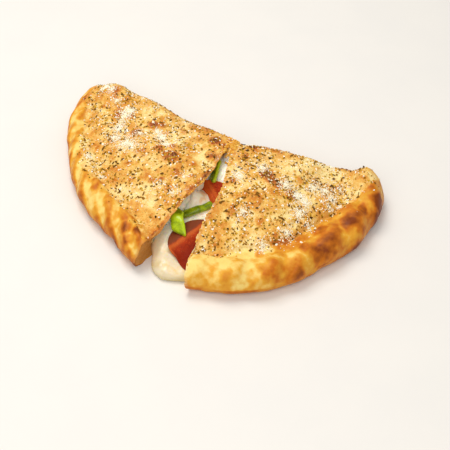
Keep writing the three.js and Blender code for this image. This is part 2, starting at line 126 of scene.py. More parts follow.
RIGHT = SimpleNamespace(
    name="bread_right",
    node="crust_right",
    side=1,
    pivot=(7.4, 1.5),
    fold=14,
    lean=5.7,
    radius=159,
    flat=6,
    flat_span=(28, 46, 90, 110),
    flare=0,
    tip=27,
    stretch=0.835,
    crown=37,
    shoulder=24.5,
    rim_at_tip=1.5,
    sag=SimpleNamespace(middle=86, depth=6),
    knob=SimpleNamespace(middle=134, rise=8),
    overhang=0,
    nip=0,
    mouth=0,
    sear=0.35,
    caramel=0,
    rim_tone=(0, 0.1, 0.14, 0.1, 0),
    crumbs_end=146,
    cut_crumbs=110,
    low_browning_and_bounce=0.22,
    fill_recess=2.5,
    sway=SimpleNamespace(middle=70, bulge=3, end=-5),
    pleats=SimpleNamespace(length=37, depth=1.4, slant=0.5, start=1),
    seed=29,
)
HALVES = (LEFT, RIGHT)

# Sizes of the bread's unevenness, from wide to tiny, and its browning: a base and a share for each size.
GRAIN_SIZES = (19, 8, 3.6, 2.0)
TOP_TONE = (0.31, 0.26, 0.22, 0.2, 0.08)

# Where the bare rim begins: angles round the curve in degrees, and ways in from its edge.
LEFT.rim_line = (
    (0, 7.3), (10, 10.3), (20, 14.8), (30, 15.6), (36, 11.5), (50, 8.8), (56, 14.3), (60, 20.3), (69, 21),
    (81, 19.8), (88, 17.6), (96, 13.9),
)
RIGHT.rim_line = (
    (0, 6.5), (8, 12), (13, 19), (19, 25), (26, 33.8), (35, 34), (47, 32.6), (57, 31), (70, 30.4),
    (79, 28.6), (88, 24.6), (96, 25.6),
)
# Angles between which the bare rim's lip deepens into a groove.
LEFT.lip_span = (46, 62)
RIGHT.lip_span = (8, 20)

# Browned blisters on the top of each half: way along the fold, way from it, size, how dark.
LEFT.blisters = (
    (62.6, 35.3, 5, 0.95), (56.2, 31.3, 3.2, 0.85), (68.1, 52.8, 4.2, 0.95), (85.4, 38.3, 4.5, 0.6),
    (41.8, 58.4, 5, 0.75), (31, 61.6, 6.5, 1.15), (35.6, 50, 3.5, 0.8), (51.1, 70, 5, 0.6),
    (53.2, 83.1, 3, 0.5), (38.9, 24.9, 3.5, 0.55), (11.8, 23.2, 4.5, 0.8), (3.3, 42.4, 5, 0.95),
    (27.1, 89, 2.6, 0.8), (22.3, 85.1, 2.2, 0.7), (-1.4, 84.6, 3, 0.5), (91.4, 76.8, 2.5, 0.5),
)
RIGHT.blisters = (
    (36.4, 46.5, 7, 1.1), (40.5, 50.5, 5, 1.15), (49, 53.9, 6, 0.8), (63.9, 61, 5.5, 1.1),
    (23.2, 70.6, 7, 0.5), (2.3, 58.7, 4, 0.7), (10, 90.6, 4.2, 0.8), (17.1, 14.3, 4.5, 0.8),
    (10.8, 30.1, 4.2, 0.65), (83.7, 36.8, 3, 0.5), (41, 85.4, 4, 0.45), (69.8, 41.5, 4, 0.45),
    (31.1, 76.3, 5, 0.45),
)
# Browned places of the bare rim, in the same way.
LEFT.scorches = (
    (-1.5, 137, 4.5, 0.75), (1, 146, 3.5, 0.6), (14.5, 128, 3.2, 0.8), (11.5, 138, 5, 0.6),
    (114, 83.6, 4, 0.5),
)
RIGHT.scorches = (
    (123.6, 71.4, 7, 0.8), (134.8, 53.2, 5, 0.75), (148.8, 39.3, 7, 1.15), (97.1, 82.9, 6, 0.7),
    (107, 97.5, 11, 0.7), (85.2, 106.7, 5, 0.65), (98, 104.5, 8, 0.62), (45.9, 119.9, 3.6, 0.75),
    (55.5, 139.2, 3.6, 0.4), (29.4, 131.1, 4, 0.4), (84.2, 130.8, 7, 0.1), (22, 150, 6, 0.35),
    (139.7, 17.6, 5, 0.6),
)
# Heaps of grated cheese: way along the fold, way from it, spread, number of crumbs.
LEFT.heaps = (
    (128.6, 19.5, 3.2, 90), (119.9, 21, 3.5, 40), (89.4, 33.8, 3.2, 130), (88.7, 41, 4.5, 110),
    (85.6, 54.5, 4.5, 90), (70, 67.2, 6, 90), (54.7, 40.3, 2.6, 60), (48, 45, 3.4, 120),
    (40.5, 50.5, 2.6, 60), (90.5, 91.6, 2.6, 40), (65.8, 104.5, 2, 20), (107.8, 29, 4, 40),
    (82, 64.5, 6, 70), (64, 66, 7, 70), (65, 52, 4, 30), (9, 76, 5, 25), (5, 92, 5, 25), (20, 90, 5, 20),
)
RIGHT.heaps = (
    (70.3, 59.3, 2.6, 120), (78, 62.5, 4, 110), (74.5, 76, 4.5, 90), (104.3, 47.9, 3, 50),
    (112.8, 51.2, 1.6, 15), (102.6, 57.5, 2, 20), (85.7, 82.5, 3, 40), (56.1, 51.7, 5, 90),
    (8.8, 53.1, 5, 80), (21, 89.3, 4, 60), (98.2, 7.5, 2, 25), (47, 111.5, 4, 60), (67.2, 97, 5, 60),
    (30.1, 38, 5, 70), (95.9, 42.5, 7, 90), (84, 44, 6, 60), (110, 34, 4, 30),
)

# Both sides of the cheese in the gap, from the back to the front, and its height along the gap.
POOL_FRONT = (8, -148.5)
CHEESE_LEFT = ((-6, -6), (-9, -60), (-16, -112), (-8.5, -131), (-2.5, -143), POOL_FRONT)
CHEESE_RIGHT = ((14, -9), (25, -60), (34, -118), (33, -137), (20, -145), POOL_FRONT)
CHEESE_LEVELS = np.array(
    [(-150, 8), (-130, 9.5), (-98, 14.5), (-80, 16.5), (-62, 19), (-48, 21.5), (-25, 26.5), (-6, 30)]
)
CHEESE_TILT = 6  # how much higher the cheese stands on the right, in the back of the gap
# Where the cheese still hangs up to the roof of the left half.
HANG = SimpleNamespace(middle=(0, -73), spread=8, rise=11)
POOL_WAIST = 3
POOL_ROUND = 11
UNDER_ROUND = 4.5
GAP_ROUND = 4
BACK_ROUND = 7
# Ways along the gap between which the edge, the folds and the colour of the pool turn into those of the gap.
POOL_TO_GAP = SimpleNamespace(edge=(-132, -112), folds=(-128, -108), colour=(-122, -104))
# The crumb and cheese in the back of the gap, and how far its crumbs spread.
LUMP_MIDDLE = (8, -14.5, 21.5)
LUMP_RADII = (7, 15.5, 15)
JOINT_FRONT = (-27, -21)  # where its yellow colour ends in front,
JOINT_FOOT = (17, 25)  # and below
JOINT_MIDDLE = np.array([8, -14])
JOINT_SPREAD = np.array([2.2, 7.4])
OIL_MIDDLE = (12, -70)  # of the oil that the slices leave on the cheese

# Faces of the meshes: rows first, then round each row.
POOL_GRID = (170, 60, 16)
LUMP_GRID = (24, 40)
FILLING_GRID = (60, 56)
SLICE_GRID = (34, 110)
STRIP_GRID = (46, 28)

# near and far are the slopes on both sides of a slice's fold, which lies offset from its middle. corners bend
# its outline out or in. shade paints shade over the near side and over the far side away from the fold, glow
# paints a highlight over the near side, and band shifts where that side ends.
PEPPERONI = (
    SimpleNamespace(
        name="pepperoni_slice_back",
        node="pepperoni_back",
        middle=(14, -72),
        turn=-37,
        offset=4.9,
        height=21.7,
        rise=-0.15,
        near=2.5,
        far=0.06,
        rest=11,
        corners=((120, 0.05, 30),),
        shade=0,
        glow=0.4,
        band=-1.4,
        seed=3,
    ),
    SimpleNamespace(
        name="pepperoni_slice_front",
        node="pepperoni_front",
        middle=(19.5, -113),
        turn=-115,
        offset=-10.5,
        height=16.5,
        rise=-0.15,
        near=0.35,
        far=0.4,
        rest=8,
        corners=((2, -0.16, 24), (-45, -0.07, 30), (42, 0.12, 18)),
        shade=0.9,
        glow=0,
        band=-1.4,
        seed=8,
    ),
)
# lit is how strongly a piece is painted with a highlight at its bend and painted lighter beyond it.
PEPPERS = (
    SimpleNamespace(
        name="pepper_bend_front",
        node="pepper_piece_front",
        path=((-5.9, -90.3, 21.5), (-1.9, -100.1, 23), (2.3, -106.6, 20.5), (5.6, -111.4, 17.2)),
        width=14,
        flesh=5,
        roll=0,
        skew=-40,
        lit=0.45,
        seed=5,
    ),
    SimpleNamespace(
        name="pepper_slat_middle",
        node="pepper_strip_middle",
        path=((-2.5, -91, 16), (2.5, -86.5, 17.5), (8.5, -80, 18.5), (16, -69.5, 18.5)),
        width=7,
        flesh=4.2,
        roll=0,
        skew=0,
        lit=0.0,
        seed=6,
    ),
    SimpleNamespace(
        name="pepper_slat_back",
        node="pepper_strip_back",
        path=((1.9, -30.5, 28.5), (3.1, -36, 28), (5.1, -44, 26.5), (6.9, -53, 24.5)),
        width=7,
        flesh=3.6,
        roll=40,
        skew=0,
        lit=0.0,
        seed=7,
    ),
)


def srgb(red, green, blue):
    """A screen colour, 0 to 255 each, as the linear colour that materials hold."""
    def linear(v):
        v /= 255
        return v / 12.92 if v <= 0.04045 else ((v + 0.055) / 1.055) ** 2.4

    return (linear(red), linear(green), linear(blue), 1.0)


def length(name, description, default):
    """A setting in metres."""
    return FloatProperty(
        name=name, description=description, default=default, min=0, unit="LENGTH", precision=5
    )


def amount(name, description, default, unit="NONE"):
    """A setting that is neither a length nor a count."""
    return FloatProperty(name=name, description=description, default=default, min=0, unit=unit)


def number(name, description, default, least=0):
    """A setting that counts something."""
    return IntProperty(name=name, description=description, default=default, min=least)


def colour(name, description, screen):
    """A colour setting."""
    return FloatVectorProperty(
        name=name, description=description, default=srgb(*screen), size=4, min=0, max=1, subtype="COLOR"
    )


class CalzoneBread(bpy.types.PropertyGroup):
    """Sizes and colours of both bread halves."""

    rim_width: length("Rim width", "Width of the rolled bread along the curved edge", 0.026)
    crease_depth: length("Crease depth", "Depth of the valley between the rim and the top", 0.0045)
    crease_width: length("Crease width", "Half-width of that valley", 0.007)
    crown_rise: length("Crown rise", "Way in from the crease over which the top climbs", 0.05)
    edge_round: length("Edge rounding", "Width over which the top turns down at the curved edge", 0.015)
    fold_round: length("Fold rounding", "The same at the straight fold", 0.017)
    under_round: length("Lower rounding", "Width of the rounded lower edge", 0.009)
    roof: length("Roof", "Thickness of the bread over the pocket", 0.0065)
    floor: length("Floor", "Thickness of the bread under the pocket", 0.006)
    fold_wall: length("Fold wall", "Thickness of the bread at the fold", 0.01)
    lip: length("Lip", "Depth of the groove along the bare rim", 0.0013)
    lumps: length("Lumps", "Height of the soft unevenness of the bread", 0.0006)
    pebbles: length("Pebbles", "Height of the fine roughness of the top", 0.0002)
    blister_rise: length("Blister rise", "How far a dark blister stands up", 0.0013)
    rows: number("Rows", "Rows of faces from the cut to the tip", 230, 40)
    columns: number("Columns", "Faces across the top", 190, 40)
    under_columns: number("Lower columns", "Faces across the underside", 50, 12)
    pale: colour("Pale top", "Floury bread of the top", (251, 223, 146))
    floured: colour("Flour", "Flour and powdery cheese on the top", (255, 239, 190))
    tan: colour("Baked top", "Evenly baked bread of the top", (232, 178, 84))
    toasted: colour("Toasted top", "Deeper baked bread of the top", (209, 128, 40))
    blistered: colour("Blistered top", "Blisters of the top", (170, 82, 28))
    scorched: colour("Scorched top", "Darkest blisters of the top", (112, 48, 18))
    pitted: colour("Pits", "Golden pits of the top", (205, 136, 46))
    herb_stain: colour("Herb dust", "Fine dust of herbs", (124, 98, 40))
    rim_pale: colour("Pale rim", "Stretched dough of the rim", (245, 213, 122))
    rim_gold: colour("Golden rim", "Golden glaze of the rim", (228, 164, 50))
    rim_brown: colour("Browned rim", "Browned streaks of the rim", (202, 114, 22))
    rim_dark: colour("Dark rim", "Darkest blisters of the rim", (128, 58, 10))
    crumb: colour("Crumb", "Cut bread", (255, 238, 190))
    crumb_deep: colour("Deep crumb", "Pores of the cut bread", (236, 192, 118))
    caramel: colour("Caramel", "Left cut, soaked with fat", (204, 124, 18))


class CalzoneCheese(bpy.types.PropertyGroup):
    """Sizes and colours of the melted cheese."""

    ripple: length("Ripple", "Height of the folds in the melted cheese", 0.0007)
    cream: colour("Cream", "Thick melted cheese", (234, 220, 187))
    # the gap's cheese is whiter, and partly painted light where the gap lies in shade
    bright: colour("Bright cheese", "Stretched, whiter cheese of the gap", (255, 250, 230))
    butter: colour("Butter", "Fatty, yellower cheese", (236, 206, 138))
    # thin cheese colour, also painted shade on the low edges of the pool
    thin: colour("Thin cheese", "Thin cheese along the edge of the pool", (206, 184, 128))
    joint: colour("Joint", "Yellow crumb and cheese that join the halves", (238, 176, 56))
    stain: colour("Stain", "Oil from the slices", (228, 164, 86))


class CalzonePepperoni(bpy.types.PropertyGroup):
    """Sizes and colours of the pepperoni slices."""

    radius: length("Radius", "Radius of a slice", 0.0225)
    thickness: length("Thickness", "Thickness of a slice", 0.0022)
    ridge_round: length("Fold rounding", "Rounding of a slice's fold", 0.003)
    meat: colour("Meat", "Cured meat", (176, 54, 12))
    # deep is also the painted shade on the front slice's far side, away from its fold
    deep: colour("Deep meat", "Darkest meat", (132, 32, 5))
    # fat is also the colour of the painted highlights on the slices' near side and along the fold
    fat: colour("Fat", "Specks of fat", (212, 108, 44))
    # shaded is painted shade on the front slice's inner flap
    shaded: colour("Shaded meat", "Dark inner side of the front slice", (116, 58, 32))


class CalzonePepper(bpy.types.PropertyGroup):
    """Colours of the green pepper."""

    skin: colour("Skin", "Glossy skin", (92, 112, 6))
    # bright is the skin colour that the painted highlights reach
    bright: colour("Bright skin", "Thin, lit skin", (176, 200, 22))
    flesh: colour("Flesh", "Cut flesh", (186, 190, 76))


class CalzoneToppings(bpy.types.PropertyGroup):
    """Numbers and colours of what is scattered over the bread."""

    dark_flakes: number("Dark flakes", "Dark herb flakes on each half", 400)
    gold_flakes: number("Yellow flakes", "Yellow herb flakes on each half", 1000)
    gold_crumbs: number("Golden crumbs", "Toasted crumbs on each half", 380)
    cheese_crumbs: number("Cheese crumbs", "Loose grated cheese on each half", 620)
    herb_dark: colour("Dark herb", "Darkest herb flakes", (70, 42, 14))
    herb_olive: colour("Olive herb", "Olive herb flakes", (140, 94, 14))
    herb_straw: colour("Straw herb", "Yellow herb flakes", (214, 162, 30))
    crumb_gold: colour("Golden crumb", "Toasted crumbs", (218, 148, 40))
    crumb_light: colour("Light crumb", "Lighter toasted crumbs", (246, 202, 100))
    grated: colour("Grated cheese", "Grated hard cheese", (255, 253, 242))
    grated_warm: colour("Warm grated cheese", "Half-melted grated cheese", (252, 236, 190))


class CalzoneStage(bpy.types.PropertyGroup):
    """Floor, light and camera."""

    floor: colour("Floor", "Plain pale floor", (236, 233, 228))
    key_power: amount("Key light", "Power of the large light from behind", 9.8, "POWER")
    fill_power: amount("Fill light", "Power of the soft light from the front", 9.2, "POWER")
    sky: amount("Sky", "Strength of the white surroundings", 0.46)


def in_mm(settings):
    """The lengths of a group of settings, in millimetres, by name."""
    lengths = [p.identifier for p in settings.bl_rna.properties if p.type == "FLOAT" and p.unit == "LENGTH"]
    return SimpleNamespace(**{name: getattr(settings, name) / MM for name in lengths})


# ---- small rules ----


def smooth(low, high, x):
    """0 at low, rising softly to 1 at high, which may also be the smaller of the two."""
    t = np.clip((x - low) / (high - low), 0, 1)
    return t * t * (3 - 2 * t)


def mix(a, b, t):
    """a where t is 0, b where it is 1."""
    return a + (b - a) * t


def bell(x, middle, spread):
    """1 at the middle, falling away on both sides."""
    return np.exp(-(((x - middle) / spread) ** 2))


def quarter_round(distance, width):
    """0 at the very edge, rising as a quarter circle to 1 at the given width."""
    t = 1 - np.clip(distance / width, 0, 1)
    return np.sqrt(1 - t * t)


def closed_steps(columns, under_columns):
    """Steps from 0 to 1 across the top and back below, fine at the ends; what is top, and what is outline."""
    def fine_ends(count):
        return 0.5 - 0.5 * np.cos(np.pi * np.arange(count + 1) / count)

    w = np.concatenate([fine_ends(columns), fine_ends(under_columns)[-2:0:-1]])
    place = np.arange(w.size)
    return w, place <= columns, np.isin(place, (0, columns))


def lattice(cells, seed):
    """Repeatable draws from 0 to 1 at whole-number cells."""
    n = cells[..., 0] * 374761393 + cells[..., 1] * 668265263 + cells[..., 2] * 1440662683 + seed * 974634777
    n &= 0xFFFFFFFF
    n = ((n ^ (n >> 13)) * 1274126177) & 0xFFFFFFFF
    return ((n ^ (n >> 16)) & 0xFFFF) / 0xFFFF


def grain(points, size, seed):
    """Soft noise from -1 to 1 with lumps of the given size."""
    scaled = np.asarray(points, float) / size + 0.37 * seed
    cell = np.floor(scaled).astype(np.int64)
    t = scaled - cell
    t = t * t * (3 - 2 * t)
    total = 0
    for corner in range(8):
        step = np.array([corner & 1, corner >> 1 & 1, corner >> 2])
        weight = np.prod(np.where(step, t, 1 - t), axis=-1)
        total = total + weight * lattice(cell + step, seed)
    return 2 * total - 1


def repeatable_draw(seed):
    """The repeatable draw that also places the crumbs on the solids."""
    def multiply(a, b):
        return (a * b) & 0xFFFFFFFF

    state = seed

    def draw():
        nonlocal state
        state = (state + 0x6D2B79F5) & 0xFFFFFFFF
        t = multiply(state ^ (state >> 15), 1 | state)
        t = ((t + multiply(t ^ (t >> 7), 61 | t)) & 0xFFFFFFFF) ^ t
        return (t ^ (t >> 14)) / 4294967296

    return draw


# ---- meshes ----


def loop_faces(rows, columns):
    """Quads of a tube of rows, each a closed loop of columns points."""
    i, j = np.meshgrid(np.arange(rows - 1), np.arange(columns), indexing="ij")
    k = (j + 1) % columns
    quads = np.stack([i * columns + j, i * columns + k, (i + 1) * columns + k, (i + 1) * columns + j], -1)
    return quads.reshape(-1, 4).tolist()


def fan_faces(ring, pole, flip):
    """Triangles from a closed ring of points to a pole."""
    pairs = zip(ring, np.roll(ring, -1).tolist())
    return [(b, a, pole) if flip else (a, b, pole) for a, b in pairs]


def tube(rows, first_pole, last_pole):
    """Points and faces of a tube of closed rows that ends in two poles."""
    count, columns = rows.shape[:2]
    points = np.vstack([rows.reshape(-1, 3), first_pole, last_pole])
    faces = loop_faces(count, columns)
    faces += fan_faces(list(range(columns)), len(points) - 2, True)
    faces += fan_faces(list(range((count - 1) * columns, count * columns)), len(points) - 1, False)
    return points, faces


def tube_normals(rows):
    """Unit normals of a tube of closed rows."""
    along = np.gradient(rows, axis=0)
    across = np.roll(rows, -1, axis=1) - np.roll(rows, 1, axis=1)
    normals = np.cross(across, along)
    return normals / np.maximum(np.linalg.norm(normals, axis=-1, keepdims=True), 1e-9)


def add_mesh(name, points, faces, material, masks, sharp=None):
    """A mesh object from points in millimetres, with its masks kept on its points."""
    mesh = bpy.data.meshes.new(name)
    mesh.from_pydata(((np.asarray(points) + HINGE_POINT) * MM).tolist(), [], faces)
    mesh.validate()
    for mask_name, values in masks.items():
        layer = mesh.attributes.new(mask_name, "FLOAT", "POINT")
        layer.data.foreach_set("value", np.asarray(values, np.float32))
    mesh.shade_smooth()
    if sharp is not None:
        mesh.set_sharp_from_angle(angle=math.radians(sharp))
    mesh.materials.append(material)
    piece = bpy.data.objects.new(name, mesh)
    bpy.context.scene.collection.objects.link(piece)
    return piece


def finish_piece(piece, node=None):
    """Says what the piece rides on, and hides the solid that it stands for."""
    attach(piece, BODY)
    if node:
        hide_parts(node)


def outward(points, faces):
    """The faces, turned so that the closed mesh faces out."""
    volume = 0
    for face in (np.array([f[:3] for f in faces]), np.array([(f[0], *f[2:]) for f in faces if len(f) == 4])):
        if face.size:
            a, b, c = (points[face[:, k]] for k in range(3))
            volume += np.einsum("ij,ij->i", a, np.cross(b, c)).sum()
    return faces if volume > 0 else [tuple(reversed(f)) for f in faces]


def merged(parts):
    """Several meshes as one: all their points, and their faces counted on."""
    firsts = np.cumsum([0] + [len(points) for points, _ in parts]).tolist()
    faces = [tuple(i + first for i in face) for (_, part), first in zip(parts, firsts) for face in part]
    return np.vstack([points for points, _ in parts]), faces


# ---- plan of a half: x runs along the fold from the cut, y from the fold to the curved edge ----


def plan_of(bread, half, rim_inset=0.0, fold_inset=0.0):
    """The half-moon with its rounded tip, pulled in at the curve and at the fold."""
    radius = half.radius - rim_inset
    tip = max(half.tip - 0.5 * (rim_inset + fold_inset), SMALLEST_TIP)
    tip_y = tip + fold_inset
    tip_x = math.sqrt((radius - tip) ** 2 - tip_y**2)
    return SimpleNamespace(
        half=half,
        radius=radius,
        tip=tip,
        tip_x=tip_x,
        tip_y=tip_y,
        curve_end=math.atan2(tip_y, tip_x),
        cut=math.pi / 2 + math.radians(half.lean),
        fold_inset=fold_inset,
        waves=1 if rim_inset < bread.rim_width - 0.01 else 0,  # the pockets have none
    )


def edge_radius(plan, angle):
    """The curved edge at an angle: flatter in its middle, with gentle waves that fade out before the tip."""
    half, pleats = plan.half, plan.half.pleats
    flat_from, flat_full, flat_ease, flat_end = np.radians(half.flat_span)
    flat = half.flat * smooth(flat_from, flat_full, angle) * smooth(flat_end, flat_ease, angle)
    flare = half.flare * smooth(*np.radians(FLARE_SPAN), angle)
    wave = np.sin(2 * np.pi * half.radius * angle / pleats.length + pleats.start) * pleats.depth * WAVE_SHARE
    sway = np.sin(SWAY.pace * angle + half.seed) * SWAY.depth
    fade = plan.waves * smooth(plan.curve_end, plan.curve_end + WAVE_FADE, angle)
    return plan.radius - flat + flare + (wave + sway) * fade


def tip_point(plan, angle):
    """A point on the circle of the tip."""
    return np.stack([plan.tip_x + plan.tip * np.cos(angle), plan.tip_y + plan.tip * np.sin(angle)], -1)


def curve_point(plan, s, reach):
    """Points of the curved side, s from 0 at the cut to 1 at the tip's pole."""
    arc = plan.radius * (plan.cut - plan.curve_end) + reach
    turn = plan.tip * (plan.curve_end - math.radians(POLE_ANGLE))
    run = s * (arc + turn)
    angle = plan.cut + (reach - run) / plan.radius
    radius = edge_radius(plan, angle)
    on_curve = np.stack([radius * np.cos(angle), radius * np.sin(angle)], -1)
    on_tip = tip_point(plan, plan.curve_end - (run - arc) / plan.tip)
    return np.where((run < arc)[..., None], on_curve, on_tip)


def fold_point(plan, s, reach):
    """Points of the fold side, s from 0 at the cut to 1 at the tip's pole."""
    start = plan.fold_inset / math.tan(plan.cut) - reach
    line = plan.tip_x - start
    turn = plan.tip * (math.pi / 2 + math.radians(POLE_ANGLE))
    run = s * (line + turn)
    on_line = np.stack([start + run, np.full_like(run, plan.fold_inset)], -1)
    on_tip = tip_point(plan, -math.pi / 2 + (run - line) / plan.tip)
    return np.where((run < line)[..., None], on_line, on_tip)


def edge_factor(plan, x, y, rim_width, fold_width):
    """0 on the outline, 1 further in than the widths given for the curved edge and the fold."""
    dx, dy = x - plan.tip_x, y - plan.tip_y
    angle = np.arctan2(dy, dx)
    towards_fold = np.clip((plan.curve_end - angle) / (plan.curve_end + math.pi / 2), 0, 1)
    at_tip = quarter_round(plan.tip - np.hypot(dx, dy), mix(rim_width, fold_width, towards_fold))
    rim = edge_radius(plan, np.arctan2(y, x)) - np.hypot(x, y)
    inside = quarter_round(rim, rim_width) * quarter_round(y - plan.fold_inset, fold_width)
    return np.where((dx > 0) & (angle < plan.curve_end), at_tip, inside)


def rim_reading(bread, half, x, y):
    """Angle round the curve, way in from the curved edge, and width of the roll there."""
    angle = np.arctan2(y, x)
    inward = edge_radius(plan_of(bread, half), angle) - np.hypot(x, y)
    roll = bread.rim_width * mix(half.rim_at_tip, 1, smooth(*np.radians(RIM_SPAN), angle))
    return angle, inward, roll


def bare_line(half, angle):
    """Way in from the curved edge at which the bare rim begins."""
    return np.interp(np.degrees(angle), *zip(*half.rim_line))


def pleat_phase(half, angle, inward, roll):
    """How many radians of its waves the pleated rim has gone through at a point."""
    pleats = half.pleats
    run = 2 * np.pi * half.radius * angle / pleats.length
    return run + pleats.start + pleats.slant * (inward / roll) * np.pi


def top_sheet(bread, half, x, y):
    """The top before its edges turn down: a rolled rim, a crease behind it and a crowned top."""
    angle, inward, roll = rim_reading(bread, half, x, y)
    bowl = smooth(roll, roll + bread.crown_rise, inward)
    sag = half.sag.depth * bell(x, half.sag.middle, SAG_LENGTH) * smooth(*SAG_FADE, y)
    knob = half.knob.rise * bell(x, half.knob.middle, KNOB_LENGTH) * smooth(*KNOB_FADE, y)
    crease = bread.crease_depth * bell(inward, roll, bread.crease_width)
    phase = pleat_phase(half, angle, inward, roll)
    ridges = 0.7 * np.sin(phase) + 0.3 * np.sin(2 * phase + 1)
    pleat = ridges * half.pleats.depth * smooth(roll + 4, 12, inward)
    swell = 1.1 * np.sin(x / 17 + half.seed) * np.sin(y / 14 + 1)
    lumps = swell + 0.7 * np.sin((x + y) / 9 + half.seed)
    return mix(half.shoulder, half.crown, bowl) - sag + knob - crease + pleat + lumps * bowl


def top_height(bread, plan, x, y):
    """Height of a half's top, down to its waist at the outline."""
    edge = edge_factor(plan, x, y, bread.edge_round, bread.fold_round)
    return mix(WAIST_HEIGHT, top_sheet(bread, plan.half, x, y), edge)


def under_height(bread, plan, x, y):
    """Height of a half's underside: flat, and up to its waist at the outline."""
    return WAIST_HEIGHT * (1 - edge_factor(plan, x, y, bread.under_round, bread.under_round))


def cut_sway(half, y):
    """How far the top of the cut wanders to the right at a way y along it."""
    return half.sway.bulge * bell(y, half.sway.middle, BULGE_LENGTH) + half.sway.end * smooth(*CUT_END, y)


def place_half(half, x, y, z):
    """Carries points of a half's plan, with their heights, to their place."""
    fold = math.radians(half.fold)
    across = fold - half.side * math.pi / 2
    lean = half.side * cut_sway(half, y) * (z / half.crown) - half.overhang * z
    nip = half.nip * smooth(*NIP_SPAN, y)
    along = x * half.stretch + (lean + nip) * smooth(LEAN_REACH, 0, x)
    return np.stack(
        [
            half.pivot[0] + along * math.cos(fold) + y * math.cos(across),
            half.pivot[1] + along * math.sin(fold) + y * math.sin(across),
            z,
        ],
        -1,
    )


def towards_gap(half):
    """The level way along the half's fold and out of its cut."""
    fold = math.radians(half.fold)
    return -np.array([math.cos(fold), math.sin(fold), 0])


def plan_rows(plan, reach, rows, columns, under_columns):
    """Plan points of closed rows from the cut to the tip; what is top, and what is outline."""
    w, is_top, is_outline = closed_steps(columns, under_columns)
    s = np.linspace(0, 1, rows + 1)
    fold_side, curve_side = fold_point(plan, s, reach), curve_point(plan, s, reach)
    flat = mix(fold_side[:, None], curve_side[:, None], w[None, :, None])
    return flat[..., 0], flat[..., 1], is_top, is_outline


def shell_rows(half, flat, waist, upper, lower):
    """Closed rows of points at the heights that two rules give, meeting at the waist."""
    x, y, is_top, is_outline = flat
    z = np.where(is_top, upper(x, y), lower(x, y))
    z[:, is_outline] = waist
    z[-1] = waist
    return place_half(half, x, y, z)


def pocket_rows(bread, half, clearance, reach, counts):
    """Closed rows of a pocket's wall, or of what fills it with some clearance; and their plan."""
    whole = plan_of(bread, half)
    plan = plan_of(bread, half, bread.rim_width + clearance, bread.fold_wall + clearance)
    flat = plan_rows(plan, reach, *counts)

    def roof(x, y):
        edge = edge_factor(plan, x, y, ROOF_ROUND, POCKET_ROUND)
        return mix(POCKET_WAIST, top_height(bread, whole, x, y) - bread.roof - clearance, edge)

    def floor(x, y):
        edge = edge_factor(plan, x, y, POCKET_ROUND, POCKET_ROUND)
        return mix(POCKET_WAIST, bread.floor + clearance, edge)

    return shell_rows(half, flat, POCKET_WAIST, roof, floor), flat


# ---- materials ----


def feed(tree, socket, value):
    """Gives a socket a value or another node's output."""
    if isinstance(value, bpy.types.NodeSocket):
        tree.links.new(value, socket)
    else:
        socket.default_value = value


def put(tree, kind, sockets=None, **attributes):
    """Adds a node with its attributes and what its sockets take."""
    node = tree.nodes.new(kind)
    for name, value in attributes.items():
        setattr(node, name, value)
    for name, value in (sockets or {}).items():
        feed(tree, node.inputs[name], value)
    return node


def reckon(tree, operation, a, b, clamp=False):
    """The result of one calculation with two values."""
    return put(tree, "ShaderNodeMath", {0: a, 1: b}, operation=operation, use_clamp=clamp).outputs[0]


def swing(tree, value, width):
    """A value from 0 to 1, brought to a swing of the given width about 0."""
    return reckon(tree, "MULTIPLY", reckon(tree, "SUBTRACT", value, 0.5), width)


def blend_colours(tree, factor, a, b):
    """Colour a where the factor is 0, colour b where it is 1."""
    return put(tree, "ShaderNodeMix", {0: factor, 6: a, 7: b}, data_type="RGBA").outputs[2]


def mask(tree, name):
    """A mask that the mesh keeps on its points."""
    return put(tree, "ShaderNodeAttribute", attribute_name=name).outputs["Fac"]


def ramp(tree, factor, stops):
    """Colours along a value: stops are pairs of place and colour."""
    node = put(tree, "ShaderNodeValToRGB", {0: factor})
    elements = node.color_ramp.elements
    while len(elements) < len(stops):
        elements.new(0.5)
    for element, (place, _) in zip(elements, stops):
        element.position = place
    for element, (_, shade) in zip(elements, stops):
        element.color = shade
    return node.outputs[0]


def remap(tree, value, low, high, to_low=0.0, to_high=1.0):
    """A value between low and high, softly brought to the other two."""
    sockets = {0: value, 1: low, 2: high, 3: to_low, 4: to_high}
    return put(tree, "ShaderNodeMapRange", sockets, interpolation_type="SMOOTHSTEP").outputs[0]


def noise(tree, size, detail, roughness=0.5, distortion=0.0):
    """Soft noise from 0 to 1 with lumps of the given size in millimetres."""
    where = put(tree, "ShaderNodeTexCoord").outputs["Object"]
    sockets = {"Vector": where, "Scale": 1 / (size * MM), "Detail": detail}
    sockets |= {"Roughness": roughness, "Distortion": distortion}
    return put(tree, "ShaderNodeTexNoise", sockets).outputs[0]


def new_material(name):
    """An empty material: itself, its node tree and its shader."""
    material = bpy.data.materials.new(name)
    material.use_nodes = True
    tree = material.node_tree
    tree.nodes.clear()
    surface = put(tree, "ShaderNodeBsdfPrincipled")
    put(tree, "ShaderNodeOutputMaterial", {0: surface.outputs[0]})
    return material, tree, surface


def finish_surface(tree, surface, shade, rough, height, bump, **sockets):
    """Gives the shader its colour, roughness and bump, and its other sockets by name, with _ for a space."""
    strength, distance = bump
    relief = {"Height": height, "Strength": strength, "Distance": distance}
    normal = put(tree, "ShaderNodeBump", relief).outputs[0]
    for name, value in {"Base_Color": shade, "Roughness": rough, "Normal": normal, **sockets}.items():
        feed(tree, surface.inputs[name.replace("_", " ")], value)


